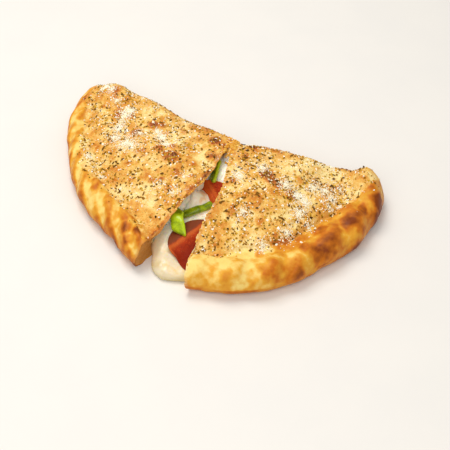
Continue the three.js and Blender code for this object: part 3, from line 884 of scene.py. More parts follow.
def mottle_group():
    """Uneven tone shared by the baked and the melted things: a value and a fine height."""
    name = "baked_mottle"
    if name in bpy.data.node_groups:
        return bpy.data.node_groups[name]
    group = bpy.data.node_groups.new(name, "ShaderNodeTree")
    for way, titles in (("INPUT", ("Patch Scale", "Speck Scale")), ("OUTPUT", ("Tone", "Height"))):
        for title in titles:
            group.interface.new_socket(title, in_out=way, socket_type="NodeSocketFloat")
    inside = put(group, "NodeGroupInput")
    where = put(group, "ShaderNodeTexCoord").outputs["Object"]
    patches, specks = (
        put(group, "ShaderNodeTexNoise", {"Vector": where, "Scale": scale, "Detail": detail}).outputs[0]
        for scale, detail in zip(inside.outputs, (4.0, 3.0))
    )
    shares = (reckon(group, "MULTIPLY", value, share) for value, share in ((patches, 0.6), (specks, 0.4)))
    put(group, "NodeGroupOutput", {0: reckon(group, "ADD", *shares), 1: specks})
    return group


def mottle(tree, patch, speck):
    """Tone and fine height, with patches and specks of the given sizes in millimetres."""
    scales = {"Patch Scale": 1 / (patch * MM), "Speck Scale": 1 / (speck * MM)}
    return put(tree, "ShaderNodeGroup", scales, node_tree=mottle_group()).outputs


def bread_material(colours):
    """Floury top, bare browned rim, and cut bread, by the masks of the mesh."""
    material, tree, surface = new_material("baked_bread")
    plus, times, minus = (partial(reckon, tree, way) for way in ("ADD", "MULTIPLY", "SUBTRACT"))
    cover = partial(blend_colours, tree)
    tone, fine = mottle(tree, 7, 2.0)
    rim_tone, _ = mottle(tree, 9, 5.0)
    rim, crumb = mask(tree, "rim"), mask(tree, "crumb")
    off_rim = minus(1.0, rim)
    uneven = plus(times(swing(tree, tone, 0.85), off_rim), times(swing(tree, rim_tone, 1.1), rim))
    baked = plus(mask(tree, "browning"), uneven, clamp=True)

    # the top, with golden pits and pale beads
    browns = zip((0.06, 0.34, 0.6, 0.8, 0.98),
                 (colours.pale, colours.tan, colours.toasted, colours.blistered, colours.scorched))
    pits = remap(tree, noise(tree, 1.5, 2, 0.55, 0.4), 0.5, 0.66)
    beads = remap(tree, noise(tree, 1.1, 1, 0.5, 0.3), 0.56, 0.68)
    top = cover(times(pits, 0.25), ramp(tree, baked, list(browns)), colours.pitted)
    top = cover(times(beads, 0.4), top, colours.pale)

    # the bare rim, and over both flour and the finest herbs
    browns = zip((0.06, 0.3, 0.6, 0.97),
                 (colours.rim_pale, colours.rim_gold, colours.rim_brown, colours.rim_dark))
    shade = cover(rim, top, ramp(tree, baked, list(browns)))
    powder = times(mask(tree, "dust"), remap(tree, noise(tree, 1.7, 4, 0.6), 0.44, 0.6))
    shade = cover(times(powder, 0.8), shade, colours.floured)
    flecks = remap(tree, noise(tree, 0.8, 1, 0.5), 0.66, 0.72)
    shade = cover(times(times(flecks, off_rim), 0.65), shade, colours.herb_stain)

    # the cut
    pores = remap(tree, noise(tree, 1.3, 4, 0.65), 0.3, 0.6)
    cut = cover(mask(tree, "caramel"), cover(pores, colours.crumb_deep, colours.crumb), colours.caramel)
    shade = cover(crumb, shade, cut)

    rough = plus(remap(tree, rim, 0.0, 1.0, 0.66, 0.46), swing(tree, fine, 0.35))
    raised = plus(times(times(pores, crumb), 1.5), times(times(minus(beads, pits), off_rim), 0.6))
    height = plus(times(fine, remap(tree, rim, 0.0, 1.0, 1.0, 0.4)), raised)
    finish_surface(tree, surface, shade, rough, height, (0.5, 0.00035), Specular_IOR_Level=0.16,
                   Subsurface_Weight=0.06, Subsurface_Scale=0.002, Subsurface_Radius=(1.0, 0.5, 0.2))
    return material


def cheese_material(colours):
    """White in the gap, partly painted light, creamy in the pool with painted shade on its low edges, yellow
    in the joint.
    """
    material, tree, surface = new_material("melted_cheese")
    tone, fine = mottle(tree, 14, 2.4)
    shade = ramp(tree, tone, [(0.36, colours.cream), (0.55, colours.cream), (0.72, colours.butter)])
    for name, tint in (("thin", colours.thin), ("inner", colours.bright), ("oil", colours.stain)):
        shade = blend_colours(tree, mask(tree, name), shade, tint)
    lumpy = remap(tree, noise(tree, 2.2, 3, 0.6), 0.35, 0.6, 0.4, 1.0)
    shade = blend_colours(tree, reckon(tree, "MULTIPLY", mask(tree, "joint"), lumpy), shade, colours.joint)
    rough = remap(tree, tone, 0.3, 0.7, 0.22, 0.42)
    finish_surface(tree, surface, shade, rough, fine, (0.3, 0.0006), Coat_Weight=0.25, Coat_Roughness=0.15,
                   Subsurface_Weight=0.5, Subsurface_Scale=0.006, Subsurface_Radius=(1.0, 0.7, 0.35))
    return material


def pepperoni_material(colours):
    """Speckled meat with a lighter rim, painted highlights on the near side and along the fold, and painted
    shade on the front slice.
    """
    material, tree, surface = new_material("cured_meat")
    tone, fine = mottle(tree, 4, 0.9)
    shade = ramp(tree, tone, [(0.35, colours.deep), (0.58, colours.meat)])
    specks = remap(tree, noise(tree, 1.1, 2, 0.5), 0.6, 0.68)
    shade = blend_colours(tree, reckon(tree, "MULTIPLY", specks, 0.55), shade, colours.fat)
    # rim adds a lighter edge and painted highlights; low and shadow add painted shade
    for name, tint in (("rim", colours.fat), ("low", colours.deep), ("shadow", colours.shaded)):
        shade = blend_colours(tree, mask(tree, name), shade, tint)
    rough = remap(tree, fine, 0.3, 0.7, 0.4, 0.62)
    finish_surface(tree, surface, shade, rough, fine, (0.5, 0.0005), Specular_IOR_Level=0.1)
    return material


def pepper_material(colours):
    """Glossy skin with painted highlights, and pale flesh where it is cut."""
    material, tree, surface = new_material("green_pepper")
    tone, fine = mottle(tree, 5, 1.2)
    flesh = mask(tree, "flesh")
    # the lit mask lightens the skin as painted highlight
    light = reckon(tree, "ADD", tone, mask(tree, "lit"))
    skin = ramp(tree, light, [(0.4, colours.skin), (0.75, colours.bright)])
    shade = blend_colours(tree, flesh, skin, colours.flesh)
    rough = remap(tree, flesh, 0.0, 1.0, 0.2, 0.4)
    finish_surface(tree, surface, shade, rough, fine, (0.25, 0.0005), Specular_IOR_Level=0.22,
                   Subsurface_Weight=0.12, Subsurface_Scale=0.002, Subsurface_Radius=(0.6, 1.0, 0.2),
                   Coat_Weight=0.16, Coat_Roughness=0.12)
    return material


def speck_material(name, low, high, roughness):
    """Small scattered things: each has its own tint between two colours."""
    material, tree, surface = new_material(name)
    tone, fine = mottle(tree, 2.5, 0.6)
    tint = reckon(tree, "ADD", mask(tree, "tint"), swing(tree, tone, 1.0), clamp=True)
    rough = remap(tree, fine, 0.3, 0.7, roughness - 0.1, roughness + 0.1)
    shade = ramp(tree, tint, [(0.05, low), (0.95, high)])
    finish_surface(tree, surface, shade, rough, fine, (0.4, 0.0003), Specular_IOR_Level=0.12)
    return material


# ---- bread ----


def spot_field(spots, x, y, warp):
    """How much of a spot there is at points of the plan, its edge made uneven by the warp."""
    field = np.zeros_like(x)
    for along, depth, size, dark in spots:
        far = np.hypot(x - along, y - depth) / size + warp
        field = np.maximum(field, dark * smooth(1.5, 0.45, far))
    return field


def tone_of(shares, noises):
    """A base tone, made uneven by a share of each noise."""
    tone, *rest = shares
    for share, field in zip(rest, noises):
        tone = tone + share * field
    return tone


def rim_browning(half, noises, crest, angle, inward):
    """How brown the bare rim is: the left one on its folds, the right one in patches towards its tip."""
    wide, middle = noises[:2]
    tone = tone_of(half.rim_tone, noises)
    if half is LEFT:
        return tone + 0.34 * crest * smooth(-0.9, 0.3, wide)
    patches = smooth(-0.15, 0.6, 0.75 * wide + 0.5 * middle)
    tone = tone + 0.08 * crest
    tone += (0.28 + 0.26 * patches) * smooth(*np.radians((82, 44)), angle)
    tone += 0.16 * smooth(*np.radians((36, 16)), angle)
    return tone + 0.12 * smooth(16, 5, inward) * smooth(-0.5, 0.5, wide - 0.4 * middle)


def bread_masks(bread, half, x, y, points, is_top):
    """Relief and colour masks of the outside of a half."""
    z = points[..., 2]
    angle, inward, roll = rim_reading(bread, half, x, y)
    noises = [grain(points, size, half.seed + k) for k, size in enumerate(GRAIN_SIZES)]
    wide, middle, small, tiny = noises

    def spots(table, warp):
        return np.where(is_top, spot_field(table, x, y, warp), 0)

    # where the rim is bare: beyond its line, and all round the side and the underside
    line = bare_line(half, angle)
    uneven = 1.6 * middle + 1.0 * small
    rim = np.where(is_top, smooth(line + 1.4, line - 1.4, inward + uneven), 1.0)
    rim = np.maximum(rim, smooth(20, 9, z))
    blister = spots(half.blisters, 0.35 * middle + 0.3 * small) * (1 - rim)
    scorch = spots(half.scorches, 0.5 * middle + 0.4 * small) * rim

    # the folds of the rim, which run on along it as they come down its side
    drop = np.clip(half.shoulder - z, 0, None) * (inward < roll)
    phase = pleat_phase(half, angle, inward, roll) - FOLD_DRAG * drop / half.pleats.length + 0.8 * wide
    turn = (phase / (2 * np.pi) + 0.25) % 1
    crest = smooth(0.0, 0.5, turn) * smooth(0.74, 0.56, turn)

    top_tone = tone_of(TOP_TONE, noises) + 0.1 * smooth(44, 18, y) * smooth(80, 50, x)
    if half is RIGHT:
        top_tone += 0.04 * bell(np.hypot(x - 35, y - 62), 0, 38) - 0.03
    # the lower rim browner and more orange: partly real toasting, partly painted warm bounce light
    rim_tone = rim_browning(half, noises, crest, angle, inward) + half.low_browning_and_bounce * smooth(21, 6, z)
    browning = mix(top_tone, rim_tone, rim) + 0.6 * blister + 0.55 * scorch
    browning = np.where(is_top, browning, np.maximum(browning, 0.55 + 0.2 * middle))

    dust = 0.6 * smooth(-0.2, 0.6, -0.7 * wide - 0.5 * middle) * (1 - rim) * np.clip(1 - blister, 0, 1)
    piles = [(along, depth, 1.3 * spread, count / 90) for along, depth, spread, count in half.heaps]
    dust = np.maximum(dust, spots(piles, 0.5 * middle + 0.5 * small))

    on_rim = smooth(line + 1, line - 5, inward) * smooth(1, 12, y)
    relief = bread.lumps * (wide + 0.7 * middle) + bread.pebbles * (1 - 0.75 * rim) * (small + 0.8 * tiny)
    relief += bread.blister_rise * (blister + 0.5 * scorch)
    relief += half.pleats.depth * (0.55 + 0.3 * wide) * (crest - 0.5) * on_rim
    groove = smooth(*np.radians(half.lip_span), angle) * np.where(is_top, 1, 0)
    relief -= bread.lip * groove * bell(inward + uneven, line + 0.8, 1.8)
    relief += 0.6 * bread.lip * groove * bell(inward + uneven, line - 3.5, 2.6)
    relief *= np.where(is_top, 1, smooth(0.3, 4, z))  # the underside lies flat
    return relief, {"browning": np.clip(browning, 0, 1.3), "rim": rim, "dust": dust}


def bread_half(bread, half, counts, material):
    """One half: outside, cut face and pocket as one closed mesh."""
    rows, columns, under_columns = counts
    ring = columns + under_columns
    away = towards_gap(half)
    whole = plan_of(bread, half)
    flat = plan_rows(whole, 0, *counts)
    x, y, is_top, _ = flat
    heights = (partial(rule, bread, whole) for rule in (top_height, under_height))
    outside = shell_rows(half, flat, WAIST_HEIGHT, *heights)
    normals = tube_normals(outside)
    if normals[rows // 3, columns // 2, 2] < 0:
        normals = -normals
    relief, masks = bread_masks(bread, half, x, y, outside, is_top)
    from_cut = np.broadcast_to((np.arange(rows + 1) * half.radius * MEAN_RUN / rows)[:, None], x.shape)
    jagged = 0.75 * grain(outside, 4.2, half.seed + 5) + 0.45 * grain(outside, 1.9, half.seed + 6)
    outside = outside + normals * relief[..., None] + away * (smooth(4, 0, from_cut) * jagged)[..., None]
    outside[..., 2] = np.maximum(outside[..., 2], 0)
    browning = masks["browning"] + 0.6 * half.sear * smooth(5, 1, from_cut) * (1 - masks["rim"])
    glaze = half.sear * smooth(2.6, 0.4, from_cut) * is_top
    inside, _ = pocket_rows(bread, half, 0, -half.mouth, (POCKET_ROWS, columns, under_columns))

    # the cut face, with pores and a few larger holes
    share = (np.arange(1, CUT_RINGS) / CUT_RINGS)[:, None]
    face = mix(outside[:1], inside[:1], share[..., None])
    pores = 0.45 * grain(face, 2.6, half.seed + 7) + 0.3 * grain(face, 1.4, half.seed + 8)
    holes = -1.5 * smooth(0.3, 0.7, grain(face, 3.4, half.seed + 9))
    face = face + away * ((pores + holes) * np.sin(np.pi * share) ** 0.5)[..., None]
    grid = np.concatenate([outside[:-1][::-1], face, inside[:-1]])
    points, faces = tube(grid, outside[-1, 0], inside[-1, 0])

    def on_points(outer, at_face, at_pocket):
        """A mask's values in the order of the mesh's points."""
        parts = [outer[:-1][::-1], np.broadcast_to(at_face, (CUT_RINGS - 1, ring))]
        parts.append(np.full((POCKET_ROWS, ring), at_pocket))
        return np.concatenate([np.concatenate(parts).ravel(), [outer[-1, 0], at_pocket]])

    soaked = mix(0.95, 0.86, smooth(100, 122, y[0])) if half.caramel else 0
    kept = {
        "browning": on_points(browning, 0.45, 0.3),
        "rim": on_points(masks["rim"], 0.5, 0.5),
        "dust": on_points(masks["dust"], 0, 0),
        "crumb": on_points(glaze, np.maximum(smooth(0.0, 0.22, share), half.sear), 1),
        "caramel": on_points(np.full_like(x, half.caramel), soaked, 0),
    }
    return add_mesh(half.name, points, outward(points, faces), material, kept, sharp=55)


class CALZONE_OT_bread(bpy.types.Operator):
    """Makes the two bread halves with their rims, creases, blisters, cut faces and pockets."""

    bl_idname = "calzone.bread"
    bl_label = "Bread halves"

    def execute(self, context):
        settings = context.scene.calzone_bread
        bread = in_mm(settings)
        material = bread_material(settings)
        counts = (settings.rows, settings.columns, settings.under_columns)
        for half in HALVES:
            finish_piece(bread_half(bread, half, counts, material), half.node)
        return {"FINISHED"}


# ---- cheese ----


def smooth_path(points, count, mirrored_ends=False):
    """Evenly spaced points along a smooth curve through the given ones, and its length."""
    knots = np.array(points, float)
    ends = (2 * knots[0] - knots[1], 2 * knots[-1] - knots[-2]) if mirrored_ends else (knots[0], knots[-1])
    padded = np.vstack([ends[0], knots, ends[1]])
    t = np.linspace(0, 1, 60, endpoint=False)[:, None]
    pieces = []
    for a, b, c, d in zip(padded, padded[1:], padded[2:], padded[3:]):
        bend = (2 * a - 5 * b + 4 * c - d) * t**2
        pieces.append(0.5 * (2 * b + (c - a) * t + bend + (3 * b - a - 3 * c + d) * t**3))
    fine = np.vstack([*pieces, knots[-1:]])
    run = np.concatenate([[0], np.cumsum(np.linalg.norm(np.diff(fine, axis=0), axis=1))])
    want = np.linspace(0, run[-1], count)
    return np.stack([np.interp(want, run, fine[:, k]) for k in range(fine.shape[1])], -1), run[-1]


def pool_mesh(ripple):
    """The cheese that bridges the gap and has run out in front."""
    rows, columns, under_columns = POOL_GRID
    (left, run), (right, _) = (smooth_path(side, rows + 1) for side in (CHEESE_LEFT, CHEESE_RIGHT))
    w, is_top, is_outline = closed_steps(columns, under_columns)
    s = np.linspace(0, 1, rows + 1)[:, None]
    flat = mix(left[:, None], right[:, None], w[None, :, None])
    span = np.linalg.norm(left - right, axis=1)[:, None]
    x, y = flat[..., 0], flat[..., 1]

    def edge(width):
        """0 on the outline, 1 further in than the width, or than GAP_ROUND at the sides of the gap."""
        narrow = np.minimum(width, mix(POOL_ROUND, GAP_ROUND, smooth(*POOL_TO_GAP.edge, y)))
        sides = quarter_round(np.minimum(w, 1 - w) * span, narrow)
        return sides * (quarter_round((1 - s) * run, width) * quarter_round(s * run, min(width, BACK_ROUND)))

    level = np.interp(y, *CHEESE_LEVELS.T)
    level = level + CHEESE_TILT * w * smooth(-64, -38, y)
    level = level + HANG.rise * bell(np.hypot(x - HANG.middle[0], y - HANG.middle[1]), 0, HANG.spread)
    wave = 0.8 * np.sin(x / 5 + y / 11) + 0.6 * np.sin(y / 6)
    above = mix(POOL_WAIST, level + wave, edge(POOL_ROUND))
    z = np.where(is_top, above, POOL_WAIST * (1 - edge(UNDER_ROUND)))
    z[:, is_outline] = POOL_WAIST
    grid = np.concatenate([flat, z[..., None]], -1)
    stretched = grid * (1, 0.28, 1)
    folds = grain(stretched, 3.2, 41) + 0.8 * grain(grid, 7, 42) + 0.35 * grain(grid, 1.8, 43)
    depth = mix(0.5, 1, smooth(*POOL_TO_GAP.folds, y))
    grid[..., 2] += np.where(is_top, 1, 0) * ripple * folds * edge(GAP_ROUND) * depth
    grid[..., 2] = np.maximum(grid[..., 2], 0)
    back = mix(grid[0, : columns // 2 + 1].mean(0), grid[0, columns // 2 :].mean(0), 0.5)
    return tube(grid[:-1], back, grid[-1, 0])


def lump_mesh():
    """The crumb and cheese that hold the halves together at the back of the gap."""
    rows, columns = LUMP_GRID
    theta = (np.pi * np.arange(1, rows) / rows)[:, None]
    phi = 2 * np.pi * np.arange(columns) / columns
    ball = np.stack(
        [np.sin(theta) * np.cos(phi), np.sin(theta) * np.sin(phi), np.cos(theta) * np.ones(columns)], -1
    )
    uneven = 1 + 0.07 * grain(ball, 0.35, 51)[..., None] + 0.05 * grain(ball, 0.16, 52)[..., None]
    middle, radii = np.array(LUMP_MIDDLE), np.array(LUMP_RADII)
    return tube(middle + ball * radii * uneven, middle + (0, 0, radii[2]), middle - (0, 0, radii[2]))


def filling_mesh(bread, half, ripple):
    """The cheese in a pocket, up to a little behind the cut, with an uneven face."""
    rows, columns = FILLING_GRID
    body, flat = pocket_rows(bread, half, CLEARANCE, -half.fill_recess, (rows, columns, columns))
    mouth = body[0]
    mirror = (-np.arange(2 * columns)) % (2 * columns)
    middle_line = (mouth + mouth[mirror]) / 2
    share = np.linspace(0.12, 0.94, 9)[:, None]
    face = mix(mouth[None], middle_line[None], share[..., None])
    bulge = ripple * (1.6 * grain(face, 6, 61 + half.seed) + 0.9 * grain(face, 2.6, 62 + half.seed))
    flow = (half.fill_recess - 0.5) * smooth(0.05, 0.6, share) * smooth(124, 100, flat[1][0])
    face = face + towards_gap(half) * (bulge + flow)[..., None]
    grid = np.concatenate([body[:-1][::-1], face])
    return tube(grid, body[-1, 0], face[-1].mean(0))


class CALZONE_OT_cheese(bpy.types.Operator):
    """Makes the melted cheese: the filling of both pockets, the bridge and the pool in front."""

    bl_idname = "calzone.cheese"
    bl_label = "Melted cheese"

    def execute(self, context):
        bread = in_mm(context.scene.calzone_bread)
        settings = context.scene.calzone_cheese
        ripple = in_mm(settings).ripple
        parts = [pool_mesh(ripple), lump_mesh(), *(filling_mesh(bread, half, ripple) for half in HALVES)]
        points, faces = merged([(points, outward(points, faces)) for points, faces in parts])
        _, y, z = points.T
        near = np.hypot(*(points[:, :2] - OIL_MIDDLE).T)
        drops = smooth(18, 6, near) * smooth(0.1, 0.5, grain(points, 2.6, 71))
        masks = {
            "oil": 0.2 * smooth(26, 12, near) + 0.4 * drops,
            "joint": smooth(*JOINT_FRONT, y) * smooth(*JOINT_FOOT, z),
            # whiter cheese through the gap, partly painted light
            "inner": smooth(*POOL_TO_GAP.colour, y),
            # darker where the cheese is low, partly thin cheese and partly painted shade, plus random patches
            "thin": 0.8 * smooth(7, 1.5, z) + 0.6 * smooth(-0.1, 0.8, grain(points, 8, 72)),
        }
        piece = add_mesh("cheese_melt", points, faces, cheese_material(settings), masks)
        finish_piece(piece, "melted_cheese")
        return {"FINISHED"}


# ---- slices ----


def slice_outline(slice_, turn):
    """How far the slice's edge stands out or in at a turn round it, 1 for a plain circle."""
    outline = 1
    for at, reach, spread in slice_.corners:
        off = (turn - math.radians(at) + math.pi) % (2 * math.pi) - math.pi
        outline = outline + reach * bell(off, 0, math.radians(spread))
    return outline


def pepperoni_mesh(slice_, sizes):
    """A round slice bent over a ridge, a little uneven, with its masks."""
    rings, sides = SLICE_GRID
    half = sizes.thickness / 2
    flat_radius = sizes.radius - half
    reach = np.linspace(0.03, 1, rings) * flat_radius
    edge = np.linspace(0, np.pi, 7)[1:-1]
    radii = np.concatenate([reach, flat_radius + half * np.sin(edge), reach[::-1]])
    ups = np.concatenate([np.full(rings, half), half * np.cos(edge), np.full(rings, -half)])
    turn = 2 * np.pi * np.arange(sides) / sides
    outline = slice_outline(slice_, turn)
    along, across = (radii[:, None] * rule(turn) * outline for rule in (np.cos, np.sin))
    flat = np.stack([along, across, np.zeros_like(along)], -1)
    curl = 0.5 * smooth(sizes.radius - 5, sizes.radius, radii)[:, None]
    ups = ups[:, None] + 0.35 * grain(flat, 6, slice_.seed) + 0.12 * grain(flat, 1.8, slice_.seed + 1) + curl
    past = across - slice_.offset
    slope = np.where(past > 0, slice_.far, slice_.near)
    fall = slope * (np.hypot(past, sizes.ridge_round) - sizes.ridge_round)
    z = np.maximum(slice_.height + slice_.rise * along - fall, slice_.rest) + ups
    c, s = math.cos(math.radians(slice_.turn)), math.sin(math.radians(slice_.turn))
    x, y = slice_.middle
    grid = np.stack([x + along * c - across * s, y + along * s + across * c, z], -1)
    points, faces = tube(grid, grid[0].mean(0), grid[-1].mean(0))

    # Painted light and shade: near marks the side that the shadow mask paints in shade; rim is a lighter band
    # at the edge plus painted highlights over the near side and along the fold; low paints shade on the far
    # side away from the fold.
    near = smooth(0.5, -1.5, past + slice_.band + 0.8 * grain(flat, 5, slice_.seed + 2))
    rim = 0.8 * smooth(sizes.radius - 1.6, sizes.radius - 0.3, radii)[:, None] * (1 - slice_.shade * near)
    rim = np.maximum(rim, slice_.glow * near)
    rim = np.maximum(rim, 0.6 * bell(past + slice_.band, 1.2, 2.0) * (1 - near))
    masks = {"rim": rim, "shadow": slice_.shade * near, "low": slice_.shade * smooth(4, 14, past)}
    return points, faces, {name: np.append(values, [0, 0]) for name, values in masks.items()}


class CALZONE_OT_pepperoni(bpy.types.Operator):
    """Makes the two bent slices of pepperoni."""

    bl_idname = "calzone.pepperoni"
    bl_label = "Pepperoni slices"

    def execute(self, context):
        settings = context.scene.calzone_pepperoni
        sizes = in_mm(settings)
        material = pepperoni_material(settings)
        for slice_ in PEPPERONI:
            points, faces, masks = pepperoni_mesh(slice_, sizes)
            piece = add_mesh(slice_.name, points, outward(points, faces), material, masks)
            finish_piece(piece, slice_.node)
        return {"FINISHED"}


# ---- peppers ----


def pepper_mesh(piece):
    """A strip of pepper wall along its path, with rounded edges and ends, and its masks."""
    steps, sides = STRIP_GRID
    path, run = smooth_path(piece.path, steps, mirrored_ends=True)
    ahead = np.gradient(path, axis=0)
    ahead /= np.linalg.norm(ahead, axis=1, keepdims=True)
    level = np.cross((0, 0, 1.0), ahead)
    level /= np.linalg.norm(level, axis=1, keepdims=True)
    skin_side = np.cross(ahead, level)
    c, s = math.cos(math.radians(piece.skew)), math.sin(math.radians(piece.skew))
    level_x, level_y, level_z = level.T
    skewed = np.stack([level_x * c - level_y * s, level_x * s + level_y * c, level_z], -1)

    turn = 2 * np.pi * np.arange(sides) / sides
    run_at = np.linspace(0, run, steps)
    end = quarter_round(np.minimum(run_at, run - run_at) + 0.15, 2.4)[:, None]
    across, out = (np.sign(q) * np.abs(q) ** 0.6 for q in (np.cos(turn), np.sin(turn)))
    a = across * piece.width / 2 * mix(0.7, 1, end)
    b = out * piece.flesh / 2 * end
    c, s = math.cos(math.radians(piece.roll)), math.sin(math.radians(piece.roll))
    grid = path[:, None] + skewed[:, None] * (a * c - b * s)[..., None]
    grid = grid + skin_side[:, None] * (a * s + b * c)[..., None]
    grid = grid + 0.25 * grain(grid, 3.5, piece.seed)[..., None] * tube_normals(grid)
    points, faces = tube(grid, grid[0].mean(0), grid[-1].mean(0))

    skin = np.broadcast_to(smooth(-0.35, 0.25, np.sin(turn)), (steps, sides))
    t = np.linspace(0, 1, steps)[:, None]
    # painted highlight: a band at the bend, lighter skin after it, and a lighter edge along one side
    lit = piece.lit * (0.3 * smooth(0.25, 0.45, t) + bell(t, 0.49, 0.08))
    lit = lit + 0.25 * smooth(0.3, 0.9, np.cos(turn))
    return points, faces, {"flesh": np.append(1 - skin, [1, 1]) * 0.8, "lit": np.append(lit, [0, 0])}


class CALZONE_OT_peppers(bpy.types.Operator):
    """Makes the three pieces of green pepper."""

    bl_idname = "calzone.peppers"
    bl_label = "Green pepper"

    def execute(self, context):
        material = pepper_material(context.scene.calzone_pepper)
        for piece in PEPPERS:
            points, faces, masks = pepper_mesh(piece)
            made = add_mesh(piece.name, points, outward(points, faces), material, masks)
            finish_piece(made, piece.node)
        return {"FINISHED"}


# ---- toppings ----

GOLDEN = (1 + 5**0.5) / 2
SHORT_SIDES = np.array([(-1, GOLDEN, 0), (1, GOLDEN, 0), (-1, -GOLDEN, 0), (1, -GOLDEN, 0)])
CRUMB_POINTS = np.vstack([np.roll(SHORT_SIDES, k, axis=1) for k in range(3)]) / math.hypot(1, GOLDEN)
LONGEST_EDGE = 1.1
FLAKE_SIDES = 7
DOWN = Vector((0, 0, -1))
SOLID_CRUMBS = SimpleNamespace(number=40, spacing=12, margin=9, least=1.5, most=2.6)  # on each half
JOINT_CRUMBS = SimpleNamespace(toasted=160, cheese=36)
HERB_SEED, CRUMB_SEED = 17, 23
STEEPEST = 0.35  # least upward part of the normal where something still lies on the bread
RIM_REACH = 2.0  # how far the toppings stray onto the bare rim, on average
TRIES = 9  # places drawn for each one that is wanted, because many lie outside or in bare patches
OVER_ALL = 60  # a height above everything
START_ABOVE = (0, 0, 15)  # where the rays that find the surface start, over the smooth form of the bread


def crumb_faces():
    """The triangles between crumb points that are one edge apart, each facing out."""
    faces = []
    for corners in combinations(range(len(CRUMB_POINTS)), 3):
        a, b, c = CRUMB_POINTS[list(corners)]
        if max(np.linalg.norm(a - b), np.linalg.norm(b - c), np.linalg.norm(a - c)) < LONGEST_EDGE:
            faces.append(corners if np.dot(np.cross(b - a, c - a), a) > 0 else corners[::-1])
    return faces


def flake_shape():
    """Points and triangles of a flat flake, domed above."""
    turns = [2 * math.pi * k / FLAKE_SIDES for k in range(FLAKE_SIDES)]
    points = [(math.cos(turn), math.sin(turn), 0) for turn in turns] + [(0, 0, 0.3), (0, 0, -0.1)]
    pairs = [(k, (k + 1) % FLAKE_SIDES) for k in range(FLAKE_SIDES)]
    faces = [(a, b, FLAKE_SIDES) for a, b in pairs] + [(b, a, FLAKE_SIDES + 1) for a, b in pairs]
    return np.array(points), faces


def form(shape, stretch, flat, jitter, tilt, lift):
    """How copies of a shape differ: longer, flatter, uneven, leaning, and standing out of the surface."""
    points, faces = shape
    return SimpleNamespace(points=points, faces=faces, stretch=stretch, flat=flat, jitter=jitter, tilt=tilt,
                           lift=lift)


CRUMB = (CRUMB_POINTS, crumb_faces())
HERB_FLAKE = form(flake_shape(), (0.9, 1.9), 0.9, 0.3, 0.3, 0.3)
TOP_CRUMB = form(CRUMB, (0.8, 1.6), 0.7, 0.25, 0.3, 0.1)
CUT_CRUMB = form(CRUMB, (0.8, 1.5), 0.8, 0.3, 0.3, 0.1)
JOINT_CRUMB = form(CRUMB, (0.8, 1.4), 0.8, 0.3, 0.4, 0.1)
LARGE_CRUMB = form(CRUMB, (0.9, 1.5), 0.6, 0.25, 0.2, 0.1)
LOOSE_CHEESE = form(CRUMB, (0.8, 1.9), 0.85, 0.3, 0.5, 0.5)
HEAPED_CHEESE = form(CRUMB, (0.8, 1.9), 0.85, 0.3, 0.5, 0.9)


def surface_of(name):
    """A finished piece's surface, to lay things on."""
    return BVHTree.FromObject(bpy.data.objects[name], bpy.context.evaluated_depsgraph_get())


def dropped(trees, starts):
    """Where rays straight down first meet a surface, and its normals there, in millimetres."""
    places, normals = [], []
    for start in (starts + HINGE_POINT) * MM:
        hits = [tree.ray_cast(Vector(start), DOWN) for tree in trees]
        hits = [hit for hit in hits if hit[0] is not None]
        if hits:
            place, normal, _, _ = min(hits, key=lambda hit: hit[3])
            places.append(np.array(place) / MM - HINGE_POINT)
            normals.append(normal)
    return np.array(places), np.array(normals)


def lie_on(tree, half, bread, x, y):
    """Places and normals of the bread's surface at points of the plan."""
    form_height = top_height(bread, plan_of(bread, half), x, y)
    return dropped([tree], place_half(half, x, y, form_height) + START_ABOVE)


def lie_on_top(tree, half, bread, x, y):
    """The same without the steep places, where nothing stays lying."""
    places, normals = lie_on(tree, half, bread, x, y)
    ok = normals[:, 2] > STEEPEST
    return places[ok], normals[ok]


def lie_in_joint(trees, draw, count):
    """Places and normals on whatever is highest where the halves still hold together."""
    ways = draw.normal(size=(count, 2)) * JOINT_SPREAD + JOINT_MIDDLE
    return dropped(trees, np.column_stack([ways, np.full(count, OVER_ALL)]))


def over_top(bread, half, draw, count):
    """Points of the plan, spread by chance over the top and a little way onto the rim."""
    plan = plan_of(bread, half)
    tries = count * TRIES + 60
    y = draw.uniform(1.5, half.radius, tries)
    x = draw.uniform(0.8, half.radius + 12, tries) - math.tan(math.radians(half.lean)) * y
    angle, inward, _ = rim_reading(bread, half, x, y)
    stray = RIM_REACH * draw.exponential(1.0, tries)
    inside = (inward > bare_line(half, angle) + 1 - stray) & (edge_factor(plan, x, y, 4, 4) > 0.7)
    crowd = grain(np.stack([x, y, np.full_like(x, half.seed)], -1), 13, 81)
    inside &= draw.uniform(-0.9, 0.7, tries) < crowd
    keep = np.flatnonzero(inside)[:count]
    return x[keep], y[keep]


def along_cut(half, draw):
    """Points of the plan along the upper edge of the cut."""
    y = draw.uniform(6, half.crumbs_end, half.cut_crumbs)
    return draw.uniform(0.2, 1.3, half.cut_crumbs) - math.tan(math.radians(half.lean)) * y, y


def heaped_on(half, draw):
    """Points of the plan in the heaps of grated cheese, thickest in their middles."""
    x, y = [], []
    for along, depth, spread, count in half.heaps:
        reach = spread * np.abs(draw.normal(0, 1, 3 * count)) ** 1.2
        turn = draw.uniform(0, 2 * math.pi, 3 * count)
        x.append(along + reach * np.cos(turn))
        y.append(depth + reach * np.sin(turn))
    return np.concatenate(x), np.concatenate(y)


